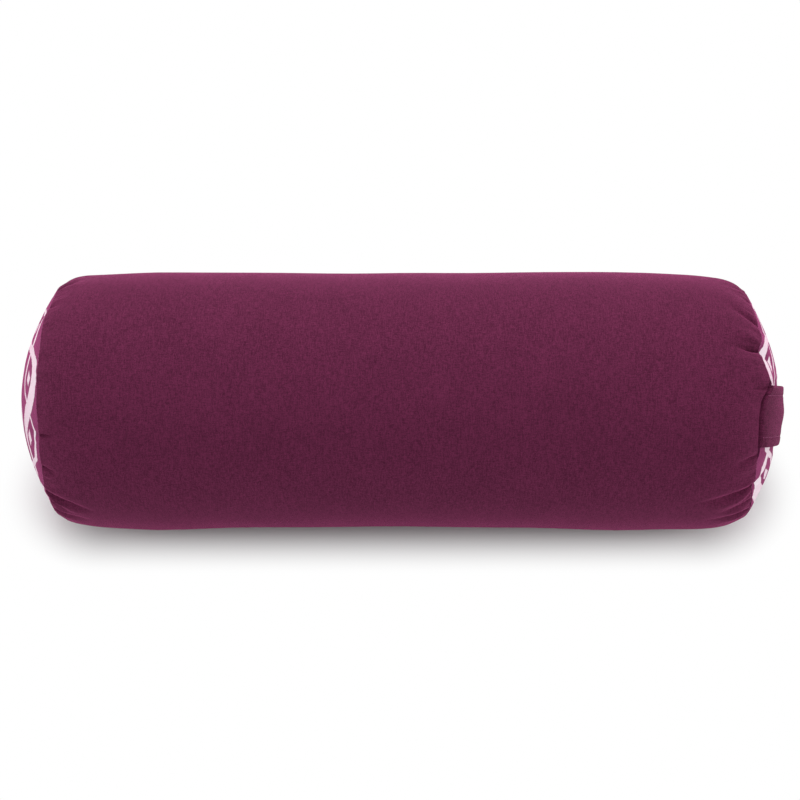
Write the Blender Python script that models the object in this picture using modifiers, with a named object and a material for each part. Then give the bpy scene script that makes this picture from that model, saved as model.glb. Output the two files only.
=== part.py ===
"""A round yoga bolster: a zipped cotton cover with a carry handle, over a filled inner bag.

Metres, +Z up. +X runs along the bolster, the handle is on the +X end, and the origin
is the middle of the flattened face that the bolster lies on.
"""

import math

import bmesh
import bpy
from mathutils import Vector

# Whole bolster
LENGTH = 0.650  # over the crowns of both end panels
DIAMETER = 0.222  # of the filled cover
SEAM_DRAW = 0.013  # how much smaller the radius is at the ring seam of each end
END_CROWN = 0.033  # how far an end panel bulges past its seam
SHOULDER_LENGTH = 0.080  # stretch over which the tube draws in to its seam
SHOULDER_POWER = 5  # how late and how sharply the shoulder turns in
BASE_SAG = 0.004  # how far the filling settles where it lies on the floor

# Cloth layers
COVER_CLOTH = 0.0008
BAG_CLOTH = 0.0005
COVER_ALLOWANCE = 0.009  # cloth turned in at the cover's ring seams
BAG_ALLOWANCE = 0.005
SEAM_SETBACK = 0.003  # how far an inner layer's seam stays off the turned-in cloth
LAYER_GAP = 0.0003

# Gathers
PUCKERS = 16
PUCKER_DEPTH = 0.003
PUCKER_VARIATION = 0.3  # how much the puckers' depths differ, as a share of the deepest
PUCKER_SWELL = 0.3  # how far the cloth between them stands out, as a share of it

# Carry handle, a folded strap sewn into the +X ring seam
HANDLE_WIDTH = 0.050
HANDLE_THICKNESS = 0.0024
HANDLE_OFFSET = 0.0135  # from the end's middle to the strap's own middle line
HANDLE_TURN = math.radians(132)  # the way its upper half runs, about +X from +Y
HANDLE_TAIL = 0.007  # how deep each end is caught in the seam
HANDLE_SLACK = 0.011  # how far the loose strap stands off the end panel at its fullest
HANDLE_SAG = 2.0  # how far the slack has slid to the strap's lower half, 1 for not at all
HANDLE_FIT = 0.0006  # between the strap and the cloth on either side of it
HANDLE_BEND_STEPS = 4
HANDLE_SPAN_STEPS = 16
HANDLE_CROSS_STEPS = 4

# Zip, along the back of the tube
ZIP_FACING = math.radians(15)  # about +X from +Y, set to the nearest line of the cloth's facets
ZIP_FLAT = 0.0015  # how far the tube is flattened along the zip
ZIP_END_SPACE = 0.004  # from the end of the cover's slot to the shoulder
SLOT_WIDTH = 0.010
TAPE_TAIL = 0.010  # how far the tapes run on past the slot
TAPE_WIDTH = 0.011
TAPE_THICKNESS = 0.0006
TOOTH_PITCH = 0.003
TOOTH_REACH = 0.0008  # past the zip's middle line
TEETH_THICKNESS = 0.0024
SPINE_INNER = 0.0012  # from the middle line to the bar that carries the teeth
SPINE_WIDTH = 0.0017
STOP_LENGTH = 0.0025
STOP_SPACE = 0.0006  # from a stop to the slot's end
TOP_STOP_GAP = 0.0009  # between the two top stops
ZIP_GAP = 0.0003

# Slider and pull
SLIDER_LENGTH = 0.010
SLIDER_WALL = 0.0008  # of the flanges that hold the teeth in
SLIDER_SHOULDER = 0.0003  # how much wider each side is at the closing end
SLIDER_CHAMFER = 0.0014
SLIDER_PLATE = 0.0012
SLIDER_GAP = 0.0004
FLANGE_THICKNESS = 0.0006
POST_WIDTH = 0.0018
POST_LENGTH = 0.0028
LOOP_LENGTH = 0.0084
LOOP_WIDTH = 0.0022
LOOP_HEIGHT = 0.0031
LOOP_BAR = 0.0009
LOOP_CHAMFER = 0.0006
PULL_LENGTH = 0.028
PULL_WIDTH = 0.0066
PULL_WAIST = 0.0048
PULL_THICKNESS = 0.0010
PULL_BAR = 0.0010
PULL_WINDOW = 0.0050
PULL_TAPER = 0.003  # stretch over which it narrows to its waist
PULL_ROUND_STEPS = 4
PULL_GAP = 0.0004
PULL_SIDE_GAP = 0.0006

# Worked out from those
SEGMENTS = 3 * PUCKERS
RADIUS = DIAMETER / 2
SEAM_RADIUS = RADIUS - SEAM_DRAW
AXIS_HEIGHT = RADIUS - BASE_SAG
CROWN_X = LENGTH / 2
SEAM_X = CROWN_X - END_CROWN
SHOULDER_X = SEAM_X - SHOULDER_LENGTH
STEP_ANGLE = 2 * math.pi / SEGMENTS
ZIP_ANGLE = round(ZIP_FACING / STEP_ANGLE) * STEP_ANGLE
SPINE_OUTER = SPINE_INNER + SPINE_WIDTH
DEEPEST = SHOULDER_POWER / (SHOULDER_POWER + 1)  # share of the shoulder where puckers are deepest
DEEPEST_GRIP = DEEPEST**SHOULDER_POWER * (1 - DEEPEST)

# Where a layer's rings lie, as shares of its shoulder and of its end's radius
COVER_SHOULDER = (0.0, 0.5, 0.74, 0.9, 1.0)
COVER_DOME = (0.0, 0.32, 0.58, 0.79, 0.93, 1.0)
INNER_SHOULDER = (0.0, 0.57, 0.82, 1.0)
INNER_DOME = (0.0, 0.5, 0.8, 1.0)


# Scene and materials


def clear_scene():
    for obj in list(bpy.data.objects):
        bpy.data.objects.remove(obj, do_unlink=True)


def new_collection(name):
    collection = bpy.data.collections.new(name)
    bpy.context.scene.collection.children.link(collection)
    return collection


def material(name, colour, roughness, metallic=0.0):
    made = bpy.data.materials.new(name)
    made.use_nodes = True
    shader = made.node_tree.nodes["Principled BSDF"]
    shader.inputs["Base Color"].default_value = (*colour, 1.0)
    shader.inputs["Roughness"].default_value = roughness
    shader.inputs["Metallic"].default_value = metallic
    return made


clear_scene()
bolster = new_collection("yoga_bolster")
cutters = new_collection("cutters")
plum_cotton = material("plum_cotton", (0.13, 0.022, 0.067), 0.95)
printed_cotton = material("printed_cotton", (0.20, 0.036, 0.105), 0.9)
calico = material("calico", (0.72, 0.68, 0.58), 0.95)
husks = material("husks", (0.45, 0.31, 0.16), 1.0)
zip_tape = material("zip_tape", (0.10, 0.018, 0.052), 0.9)
zip_plastic = material("zip_plastic", (0.12, 0.02, 0.06), 0.45)
zip_metal = material("zip_metal", (0.14, 0.025, 0.07), 0.35, 0.4)


# Making objects


def add_object(name, data, look, parent):
    obj = bpy.data.objects.new(name, data)
    bolster.objects.link(obj)
    obj.parent = parent
    if look is not None:
        data.materials.append(look)
    return obj


def add_empty(name, location, turn_about_x=0.0, parent=None):
    empty = bpy.data.objects.new(name, None)
    empty.empty_display_size = 0.05
    bolster.objects.link(empty)
    empty.location = location
    empty.rotation_euler = (turn_about_x, 0.0, 0.0)
    empty.parent = parent
    return empty


def baked(obj):
    """The object with its modifiers applied, as a mesh of its own under the same name."""
    bpy.context.view_layer.update()
    graph = bpy.context.evaluated_depsgraph_get()
    mesh = bpy.data.meshes.new_from_object(obj.evaluated_get(graph))
    work = bmesh.new()
    work.from_mesh(mesh)
    bmesh.ops.remove_doubles(work, verts=work.verts, dist=1e-6)
    work.to_mesh(mesh)
    work.free()
    name, parent, basis = obj.name, obj.parent, obj.matrix_basis.copy()
    bpy.data.objects.remove(obj, do_unlink=True)
    made = add_object(name, mesh, None, parent)
    made.matrix_basis = basis
    return made


def turned(name, profile, look, parent):
    """A sheet turned about X from a profile of (x, radius) points, run from +X to -X."""
    mesh = bpy.data.meshes.new(name)
    points = [(x, radius, 0.0) for x, radius in profile]
    mesh.from_pydata(points, [(i, i + 1) for i in range(len(points) - 1)], [])
    obj = add_object(name, mesh, look, parent)
    screw = obj.modifiers.new("turn", "SCREW")
    screw.axis = "X"
    screw.steps = screw.render_steps = SEGMENTS
    screw.use_merge_vertices = True
    screw.merge_threshold = 1e-5
    return baked(obj)


def reshape(obj, move):
    for vertex in obj.data.vertices:
        vertex.co = move(vertex.co)
    obj.data.shade_smooth()


def thicken(obj, thickness, offset):
    """Gives a sheet its thickness, inwards where offset is -1 and to both sides where it is 0."""
    wall = obj.modifiers.new("cloth", "SOLIDIFY")
    wall.thickness = thickness
    wall.offset = offset
    wall.use_even_offset = True


def flat_outline(name, loops, thickness, look, parent):
    """A plate from closed loops of (x, y) points, the first outside and the rest holes."""
    curve = bpy.data.curves.new(name, "CURVE")
    curve.dimensions = "2D"
    curve.fill_mode = "BOTH"
    curve.extrude = thickness / 2
    for loop in loops:
        spline = curve.splines.new("POLY")
        spline.points.add(len(loop) - 1)
        for point, (x, y) in zip(spline.points, loop):
            point.co = (x, y, 0.0, 1.0)
        spline.use_cyclic_u = True
    return add_object(name, curve, look, parent)


def box(name, low, high, look, parent):
    mesh = bpy.data.meshes.new(name)
    work = bmesh.new()
    bmesh.ops.create_cube(work, size=1.0)
    for vertex in work.verts:
        for i in range(3):
            vertex.co[i] = (low[i] + high[i]) / 2 + vertex.co[i] * (high[i] - low[i])
    work.to_mesh(mesh)
    work.free()
    return add_object(name, mesh, look, parent)


def combine(obj, other, operation):
    """Joins or cuts obj by other, which becomes a hidden cutter."""
    bolster.objects.unlink(other)
    cutters.objects.link(other)
    other.hide_render = True
    other.display_type = "WIRE"
    step = obj.modifiers.new(operation.lower(), "BOOLEAN")
    step.operation = operation
    step.object = other


# The bolster's form


class Layer:
    """One skin of the bolster: its size, its settled faces and where its ring seam lies."""

    def __init__(self, depth, seam, base, zip_plane, shoulder, dome):
        self.radius = RADIUS - depth
        self.crown_x = CROWN_X - depth
        self.seam = seam
        self.base = base
        self.zip_plane = zip_plane
        self.shoulder = shoulder
        self.dome = dome

    def shoulder_profile(self):
        """(x, radius) along one shoulder, from where it begins to the seam."""
        points = []
        for share in self.shoulder:
            x = SHOULDER_X + share * (self.seam.x - SHOULDER_X)
            drop = (self.radius - self.seam.y) * share**SHOULDER_POWER
            points.append(Vector((x, self.radius - drop)))
        return points

    def dome_profile(self):
        """(x, radius) over one end, from its crown to the seam."""
        rise = self.crown_x - self.seam.x
        return [Vector((self.crown_x - rise * share**2, self.seam.y * share)) for share in self.dome]

    def settled(self, point):
        """A point pressed flat against the floor and along the zip."""
        x, y, z = point
        z = max(z, -self.base)
        out_y, out_z = math.cos(ZIP_ANGLE), math.sin(ZIP_ANGLE)
        proud = y * out_y + z * out_z - self.zip_plane
        if proud > 0:
            y -= proud * out_y
            z -= proud * out_z
        return Vector((x, y, z))


def facet_height(sideways):
    """Height of the cover's faceted, flattened surface beside the zip's middle line."""
    first = math.floor(math.asin(sideways / RADIUS) / STEP_ANGLE)
    near, far = first * STEP_ANGLE, (first + 1) * STEP_ANGLE
    near_height = min(RADIUS * math.cos(near), COVER_ZIP_PLANE)
    far_height = min(RADIUS * math.cos(far), COVER_ZIP_PLANE)
    near_side, far_side = RADIUS * math.sin(near), RADIUS * math.sin(far)
    share = (sideways - near_side) / (far_side - near_side)
    return near_height + share * (far_height - near_height)


# The ring seam, as (x, radius), with unit steps into the bolster and across to the end panel
SEAM = Vector((SEAM_X, SEAM_RADIUS))
TUBE_NORMAL = Vector((SHOULDER_POWER * (RADIUS - SEAM_RADIUS) / SHOULDER_LENGTH, 1.0)).normalized()
DOME_NORMAL = Vector((1.0, 2 * END_CROWN / SEAM_RADIUS)).normalized()
SEAM_IN = -(TUBE_NORMAL + DOME_NORMAL).normalized()
SEAM_ACROSS = Vector((-SEAM_IN.y, SEAM_IN.x))

# Heights of the zip above the bolster's axis
COVER_ZIP_PLANE = RADIUS - ZIP_FLAT
TAPE_INNER = SPINE_OUTER + ZIP_GAP
TAPE_OUTER = TAPE_INNER + TAPE_WIDTH
ZIP_HEIGHT = facet_height(TAPE_OUTER) - COVER_CLOTH - LAYER_GAP - TAPE_THICKNESS / 2
PLATE_GAP_HEIGHT = TEETH_THICKNESS / 2 + SLIDER_GAP
SLIDER_HALF_HEIGHT = PLATE_GAP_HEIGHT + SLIDER_PLATE
BAG_ZIP_PLANE = ZIP_HEIGHT - SLIDER_HALF_HEIGHT - LAYER_GAP

BAG_DEPTH = COVER_CLOTH + LAYER_GAP
CORE_DEPTH = BAG_DEPTH + BAG_CLOTH + LAYER_GAP
BAG_SEAM = SEAM + SEAM_IN * (COVER_ALLOWANCE + SEAM_SETBACK)
CORE_SEAM = BAG_SEAM + SEAM_IN * (BAG_ALLOWANCE + SEAM_SETBACK)

COVER = Layer(0.0, SEAM, AXIS_HEIGHT, COVER_ZIP_PLANE, COVER_SHOULDER, COVER_DOME)
BAG = Layer(
    BAG_DEPTH, BAG_SEAM, AXIS_HEIGHT - BAG_DEPTH, BAG_ZIP_PLANE, INNER_SHOULDER, INNER_DOME
)
CORE = Layer(
    CORE_DEPTH,
    CORE_SEAM,
    AXIS_HEIGHT - CORE_DEPTH,
    BAG_ZIP_PLANE - BAG_CLOTH - LAYER_GAP,
    INNER_SHOULDER,
    INNER_DOME,
)


# Cloth pieces


def gathered(point):
    """A point of the cover's tube, pushed in or out by the puckers beside its seams. The seams
    themselves and the cloth turned in behind them stay round."""
    x, y, z = point
    radius = math.hypot(y, z)
    share = (abs(x) - SHOULDER_X) / SHOULDER_LENGTH
    if share <= 0 or radius < SEAM_RADIUS + LAYER_GAP:
        return Vector(point)
    line = round(math.atan2(z, y) / STEP_ANGLE)
    end = 1 if x > 0 else 2
    push = PUCKER_SWELL
    if line % 3 == 0:
        push = PUCKER_VARIATION - 1 - PUCKER_VARIATION * math.sin(2.4 * line * end)
    grip = share**SHOULDER_POWER * (1 - share) / DEEPEST_GRIP
    scale = 1 + PUCKER_DEPTH * push * grip / radius
    return Vector((x, y * scale, z * scale))


def tube_panel(name, layer, allowance, thickness, puckers, look, parent):
    """A layer's long panel, open at both ends, with its edges turned in along the seams."""
    half = [layer.seam + SEAM_IN * allowance, *reversed(layer.shoulder_profile())]
    profile = half + [Vector((-x, radius)) for x, radius in reversed(half)]
    panel = turned(name, profile, look, parent)
    reshape(panel, lambda co: layer.settled(gathered(co) if puckers else co))
    thicken(panel, thickness, -1.0)
    return panel


def in_handle_seam(turn):
    """Whether a line of the end panel borders the stretch of seam that grips the handle."""
    low = math.asin((HANDLE_OFFSET - HANDLE_WIDTH / 2) / SEAM_RADIUS) - STEP_ANGLE
    high = math.asin((HANDLE_OFFSET + HANDLE_WIDTH / 2) / SEAM_RADIUS) + STEP_ANGLE
    for away in (turn - HANDLE_TURN, HANDLE_TURN + math.pi - turn):
        if low <= (away + math.pi) % (2 * math.pi) - math.pi <= high:
            return True
    return False


def end_panel(name, layer, allowance, thickness, end, look, parent, seam_opening=0.0):
    """A layer's crowned round end, with its edge turned in. end is 1 at +X and -1 at -X, and
    seam_opening is how far the edge stands off where the handle is caught."""
    seam = layer.seam + SEAM_ACROSS * LAYER_GAP
    edge = seam + SEAM_IN * allowance
    panel = turned(name, [*layer.dome_profile()[:-1], seam, edge], look, parent)

    def place(co):
        x, y, z = co
        radius = math.hypot(y, z)
        rim = min(abs(x - seam.x) + abs(radius - seam.y), abs(x - edge.x) + abs(radius - edge.y))
        if seam_opening and rim < 1e-5 and in_handle_seam(math.atan2(z, y)):
            x += SEAM_ACROSS.x * seam_opening
            y *= 1 + SEAM_ACROSS.y * seam_opening / radius
            z *= 1 + SEAM_ACROSS.y * seam_opening / radius
        return Vector((x * end, y, z))

    reshape(panel, place)
    if end < 0:
        panel.data.flip_normals()
    thicken(panel, thickness, -1.0)
    return panel


def filling(name, layer, look, parent):
    half = [*layer.dome_profile()[:-1], *reversed(layer.shoulder_profile())]
    profile = half + [Vector((-x, radius)) for x, radius in reversed(half)]
    core = turned(name, profile, look, parent)
    reshape(core, layer.settled)
    return core


def dome_height(radius):
    return CROWN_X - END_CROWN * (radius / SEAM_RADIUS) ** 2


def handle_seam_line():
    """The strap's middle line as (x, radius) points, from its tail out round the panel's edge."""
    grip = HANDLE_THICKNESS / 2 + HANDLE_FIT
    corner = SEAM + SEAM_ACROSS * 2 * grip
    points = [SEAM + SEAM_IN * depth + SEAM_ACROSS * grip for depth in (HANDLE_TAIL, HANDLE_TAIL / 2, 0)]
    first = math.atan2(-SEAM_ACROSS.y, -SEAM_ACROSS.x)
    last = math.atan2(DOME_NORMAL.y, DOME_NORMAL.x)
    for step in range(1, HANDLE_BEND_STEPS + 1):
        turn = first + (last - first) * step / HANDLE_BEND_STEPS
        points.append(corner + grip * Vector((math.cos(turn), math.sin(turn))))
    return points


def carry_handle(name, look, parent):
    """A strap that follows the ring seam at both ends, and the crown of the end in between."""
    seam_line = handle_seam_line()
    reach = seam_line[-1].y
    lift = seam_line[-1].x - dome_height(reach)
    rows = 2 * len(seam_line) + HANDLE_SPAN_STEPS - 2
    along_y, along_z = math.cos(HANDLE_TURN), math.sin(HANDLE_TURN)

    def place(row, sideways):
        """(x, run) of a point of the strap, run along it from the end's middle."""
        from_tail = min(row, rows - row)
        if from_tail < len(seam_line):
            x, radius = seam_line[from_tail]
            run = math.sqrt(radius**2 - sideways**2)
            return x, run if row < rows / 2 else -run
        share = (row - len(seam_line) + 1) / HANDLE_SPAN_STEPS
        run = reach * (1 - 2 * share) * math.sqrt(1 - (sideways / reach) ** 2)
        slack = HANDLE_SLACK * math.sin(math.pi * share**HANDLE_SAG) ** 2
        return dome_height(math.hypot(run, sideways)) + lift + slack, run

    mesh = bpy.data.meshes.new(name)
    work = bmesh.new()
    bmesh.ops.create_grid(work, x_segments=rows, y_segments=HANDLE_CROSS_STEPS, size=1.0)
    for vertex in work.verts:
        sideways = HANDLE_OFFSET + vertex.co.y * HANDLE_WIDTH / 2
        x, run = place(round((vertex.co.x + 1) / 2 * rows), sideways)
        vertex.co = (x, run * along_y - sideways * along_z, run * along_z + sideways * along_y)
    work.to_mesh(mesh)
    work.free()
    handle = add_object(name, mesh, look, parent)
    thicken(handle, HANDLE_THICKNESS, 0.0)
    return handle


# The zip, with Z out of the bolster and X along it


def teeth_row(name, side, start, end, first_tooth, look, parent):
    """One row of teeth on its bar. side is 1 for +Y and -1 for -Y."""
    half = (TOOTH_PITCH / 2 - ZIP_GAP) / 2
    loop = [(end, SPINE_INNER), (end, SPINE_OUTER), (start, SPINE_OUTER), (start, SPINE_INNER)]
    count = int((end - first_tooth - half - ZIP_GAP) / TOOTH_PITCH) + 1
    for tooth in range(count):
        middle = first_tooth + tooth * TOOTH_PITCH
        loop.append((middle - half, SPINE_INNER))
        loop.append((middle - half, -TOOTH_REACH))
        loop.append((middle + half, -TOOTH_REACH))
        loop.append((middle + half, SPINE_INNER))
    loop = [(x, side * y) for x, y in loop]
    return flat_outline(name, [loop], TEETH_THICKNESS, look, parent)


def slider(parent):
    """The slider's two plates, the post between them, their flanges and the loop on top."""
    nose, tail = -SLIDER_LENGTH / 2, SLIDER_LENGTH / 2
    flange_inner = SPINE_OUTER + SLIDER_GAP
    half_tail = flange_inner + SLIDER_WALL
    half_nose = half_tail + SLIDER_SHOULDER
    chamfer = SLIDER_CHAMFER
    side = [
        (nose, half_nose - chamfer),
        (nose + chamfer, half_nose),
        (tail - chamfer, half_tail),
        (tail, half_tail - chamfer),
    ]
    outline = side + [(x, -y) for x, y in reversed(side)]
    plates = []
    for name, sense in (("zip_slider", 1), ("slider_lower_plate", -1)):
        plate = baked(flat_outline(name, [outline], SLIDER_PLATE, zip_metal, parent))
        plate.location.z = sense * (PLATE_GAP_HEIGHT + SLIDER_PLATE / 2)
        plates.append(plate)
    body = plates[0]
    combine(body, plates[1], "UNION")

    overlap = SLIDER_PLATE / 2
    post_start = nose + SLIDER_GAP
    post_top = PLATE_GAP_HEIGHT + overlap
    post = box(
        "slider_post",
        (post_start, -POST_WIDTH / 2, -post_top),
        (post_start + POST_LENGTH, POST_WIDTH / 2, post_top),
        zip_metal,
        parent,
    )
    combine(body, post, "UNION")

    tape_clearance = TAPE_THICKNESS / 2 + SLIDER_GAP
    flange_outer = flange_inner + FLANGE_THICKNESS
    for place, sense in (("upper", 1), ("lower", -1)):
        for hand in (1, -1):
            heights = sorted((sense * tape_clearance, sense * (PLATE_GAP_HEIGHT + overlap)))
            sides = sorted((hand * flange_inner, hand * flange_outer))
            flange = box(
                f"slider_{place}_flange",
                (nose + chamfer, sides[0], heights[0]),
                (tail - chamfer, sides[1], heights[1]),
                zip_metal,
                parent,
            )
            combine(body, flange, "UNION")

    half = LOOP_LENGTH / 2
    top_half, side_height = half - LOOP_CHAMFER, LOOP_HEIGHT - LOOP_CHAMFER
    outer = [(half, -overlap), (half, side_height), (top_half, LOOP_HEIGHT)]
    inner_half, inner_height = half - LOOP_BAR, LOOP_HEIGHT - LOOP_BAR
    inner = [(inner_half, -overlap), (inner_half, inner_height)]
    arch = outer + [(-x, y) for x, y in reversed(outer)] + [(-x, y) for x, y in inner]
    arch += list(reversed(inner))
    loop = flat_outline("slider_loop", [arch], LOOP_WIDTH, zip_metal, parent)
    loop.rotation_euler.x = math.pi / 2
    loop = baked(loop)
    loop.location.z = SLIDER_HALF_HEIGHT
    combine(body, loop, "UNION")
    return body


def pull(name, look, parent):
    """A flat tab that hangs in the slider's loop by the bar at its end, on the hinge's axis."""
    half_bar = PULL_BAR / 2
    corner = half_bar
    half_window = LOOP_WIDTH / 2 + PULL_SIDE_GAP
    window_end = half_bar + PULL_WINDOW
    end = PULL_LENGTH - half_bar
    half_width = PULL_WIDTH / 2
    side = [
        (-half_bar, half_width - corner),
        (-half_bar + corner, half_width),
        (window_end, half_width),
        (window_end + PULL_TAPER, PULL_WAIST / 2),
    ]
    for step in range(PULL_ROUND_STEPS):
        turn = math.pi / 2 * (1 - step / PULL_ROUND_STEPS)
        side.append((end - half_width * (1 - math.cos(turn)), half_width * math.sin(turn)))
    outline = side + [(end, 0.0)] + [(x, -y) for x, y in reversed(side)]
    window = [
        (half_bar, -half_window),
        (half_bar, half_window),
        (window_end, half_window),
        (window_end, -half_window),
    ]
    return flat_outline(name, [outline, window], PULL_THICKNESS, look, parent)


def zip_pieces(frame, tube):
    """The zip, and the slot for it in the tube."""
    slot_end = SHOULDER_X - ZIP_END_SPACE
    stop_outer = slot_end - STOP_SPACE
    stop_inner = stop_outer - STOP_LENGTH
    slot = box(
        "zip_slot",
        (-slot_end, -SLOT_WIDTH / 2, BAG_ZIP_PLANE),
        (slot_end, SLOT_WIDTH / 2, RADIUS + COVER_CLOTH),
        None,
        frame,
    )
    combine(tube, slot, "DIFFERENCE")

    chain = add_empty("zip_chain_frame", (0.0, 0.0, ZIP_HEIGHT), parent=frame)
    tape_end = slot_end + TAPE_TAIL
    for name, side in (("zip_tape_lower", 1), ("zip_tape_upper", -1)):
        sides = sorted((side * TAPE_INNER, side * TAPE_OUTER))
        box(
            name,
            (-tape_end, sides[0], -TAPE_THICKNESS / 2),
            (tape_end, sides[1], TAPE_THICKNESS / 2),
            zip_tape,
            chain,
        )

    slider_rest = -stop_inner + ZIP_GAP + SLIDER_LENGTH / 2
    post_end = slider_rest - SLIDER_LENGTH / 2 + SLIDER_GAP + POST_LENGTH
    start = post_end + ZIP_GAP
    end = stop_inner - ZIP_GAP
    first = start + TOOTH_PITCH / 2
    teeth_row("zip_teeth_lower", 1, start, end, first, zip_plastic, chain)
    teeth_row("zip_teeth_upper", -1, start, end, first + TOOTH_PITCH / 2, zip_plastic, chain)

    half_stop = TEETH_THICKNESS / 2
    stop_middle = TOP_STOP_GAP / 2
    box(
        "zip_top_stop_lower",
        (-stop_outer, stop_middle, -half_stop),
        (-stop_inner, SPINE_OUTER, half_stop),
        zip_metal,
        chain,
    )
    box(
        "zip_top_stop_upper",
        (-stop_outer, -SPINE_OUTER, -half_stop),
        (-stop_inner, -stop_middle, half_stop),
        zip_metal,
        chain,
    )
    box(
        "zip_bottom_stop",
        (stop_inner, -SPINE_OUTER, -half_stop),
        (stop_outer, SPINE_OUTER, half_stop),
        zip_metal,
        chain,
    )

    slider_frame = add_empty("slider_frame", (slider_rest, 0.0, 0.0), parent=chain)
    slider(slider_frame)
    hinge_height = SLIDER_HALF_HEIGHT + PULL_GAP + PULL_THICKNESS / 2
    hinge = add_empty("pull_hinge", (0.0, 0.0, hinge_height), parent=slider_frame)
    pull("zip_pull", zip_metal, hinge)
    travel = 2 * stop_inner - 2 * ZIP_GAP - SLIDER_LENGTH
    print(f"slider travel {travel:.4f}, slider at {slider_rest:.4f}")


def build():
    axis = add_empty("bolster_axis", (0.0, 0.0, AXIS_HEIGHT))
    tube = tube_panel("cover_tube", COVER, COVER_ALLOWANCE, COVER_CLOTH, True, plum_cotton, axis)
    seam_opening = HANDLE_THICKNESS + 2 * HANDLE_FIT - LAYER_GAP
    end_panel(
        "end_panel_right", COVER, COVER_ALLOWANCE, COVER_CLOTH, 1, printed_cotton, axis, seam_opening
    )
    end_panel("end_panel_left", COVER, COVER_ALLOWANCE, COVER_CLOTH, -1, printed_cotton, axis)
    carry_handle("carry_handle", plum_cotton, axis)
    tube_panel("inner_bag_tube", BAG, BAG_ALLOWANCE, BAG_CLOTH, False, calico, axis)
    end_panel("inner_bag_end_right", BAG, BAG_ALLOWANCE, BAG_CLOTH, 1, calico, axis)
    end_panel("inner_bag_end_left", BAG, BAG_ALLOWANCE, BAG_CLOTH, -1, calico, axis)
    filling("filling", CORE, husks, axis)
    zip_frame = add_empty("zip_frame", (0.0, 0.0, 0.0), ZIP_ANGLE - math.pi / 2, axis)
    zip_pieces(zip_frame, tube)
    bpy.context.view_layer.update()
    for name in ("slider_frame", "pull_hinge"):
        spot = bpy.data.objects[name].matrix_world.translation
        print(name, tuple(round(value, 5) for value in spot))


build()
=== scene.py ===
# %% [markdown]
# A round bolster lies on a pale floor: a long cotton tube, gathered at both ends onto crowned
# round panels with a pale print, a carry strap caught in one of the two ring seams, and a zip
# along the back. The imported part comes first, because every soft piece made here has to fit
# the solids that it stands for.

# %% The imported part
import math

import bpy
import numpy as np
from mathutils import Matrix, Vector, noise


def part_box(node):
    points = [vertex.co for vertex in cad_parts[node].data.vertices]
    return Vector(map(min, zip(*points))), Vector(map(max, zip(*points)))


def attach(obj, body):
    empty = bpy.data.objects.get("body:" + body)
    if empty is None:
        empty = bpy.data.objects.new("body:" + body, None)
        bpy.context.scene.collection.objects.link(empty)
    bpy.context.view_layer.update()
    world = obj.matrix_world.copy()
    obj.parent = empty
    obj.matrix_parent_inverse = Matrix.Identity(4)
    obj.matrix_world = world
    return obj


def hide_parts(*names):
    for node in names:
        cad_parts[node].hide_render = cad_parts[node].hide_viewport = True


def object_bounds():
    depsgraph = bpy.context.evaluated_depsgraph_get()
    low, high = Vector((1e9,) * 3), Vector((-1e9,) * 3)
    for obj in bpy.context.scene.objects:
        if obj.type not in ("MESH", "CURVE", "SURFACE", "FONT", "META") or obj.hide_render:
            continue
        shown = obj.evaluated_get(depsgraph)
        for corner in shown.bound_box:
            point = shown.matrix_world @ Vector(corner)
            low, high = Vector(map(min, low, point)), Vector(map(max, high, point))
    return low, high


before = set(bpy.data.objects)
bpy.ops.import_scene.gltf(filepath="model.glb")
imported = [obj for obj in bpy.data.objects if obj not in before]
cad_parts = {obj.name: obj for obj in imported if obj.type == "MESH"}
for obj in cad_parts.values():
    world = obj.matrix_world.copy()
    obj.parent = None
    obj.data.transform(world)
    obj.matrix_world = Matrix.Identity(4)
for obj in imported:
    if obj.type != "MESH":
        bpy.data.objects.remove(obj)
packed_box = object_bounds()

packed_low, packed_high = packed_box
print("packed part, mm:", [round(1000 * side, 1) for side in packed_high - packed_low])

# %% [markdown]
# The sizes are the part's own. The bolster lies along X on a face that is pressed flat by its
# weight. A place on it is given by how far it is along X, its distance from the axis, and the
# turn round the axis, counted from the back (+Y) over the top.

# %% Sizes, in metres
TUBE_RADIUS = 0.111
AXIS_HEIGHT = 0.107
SEAM_X = 0.292  # the ring seams, from the middle of the bolster
SEAM_RADIUS = 0.098
CROWN_X = 0.325  # the tops of the crowned ends
CROWN = CROWN_X - SEAM_X
SHOULDER_X = 0.212  # where the tube starts to draw in
SHOULDER = SEAM_X - SHOULDER_X
SHOULDER_POWER = 5  # the higher, the later and sharper it draws in
CLOTH = 0.0008
TURNED_IN = 0.009  # the seam allowance
LAYER_GAP = 0.0004  # between two layers in a seam
ZIP_TURN = math.radians(15)
ZIP_PLANE = TUBE_RADIUS - 0.0015  # how far the flat strip along the zip is from the axis
SLOT_HALF_WIDTH = 0.005
SLOT_END = SHOULDER_X - 0.004
STRAP_TURN = math.radians(132)
STRAP_WIDTH = 0.050
STRAP_THICKNESS = 0.0024
STRAP_OFFSET = 0.0115  # from the middle of the end to the middle line of the strap
print("over the end crowns", 2 * CROWN_X, "m, across", 2 * TUBE_RADIUS, "m")

# %% [markdown]
# The camera stands in front and looks down at the axis, far enough back for the long body to
# keep straight sides, with a longish lens. It comes first, so that each later step can be
# looked at as it is made.

# %% Camera
CAMERA_DISTANCE = 1.21
CAMERA_ELEVATION = math.radians(48)
LENS, SENSOR = 62.4, 36  # mm

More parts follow.
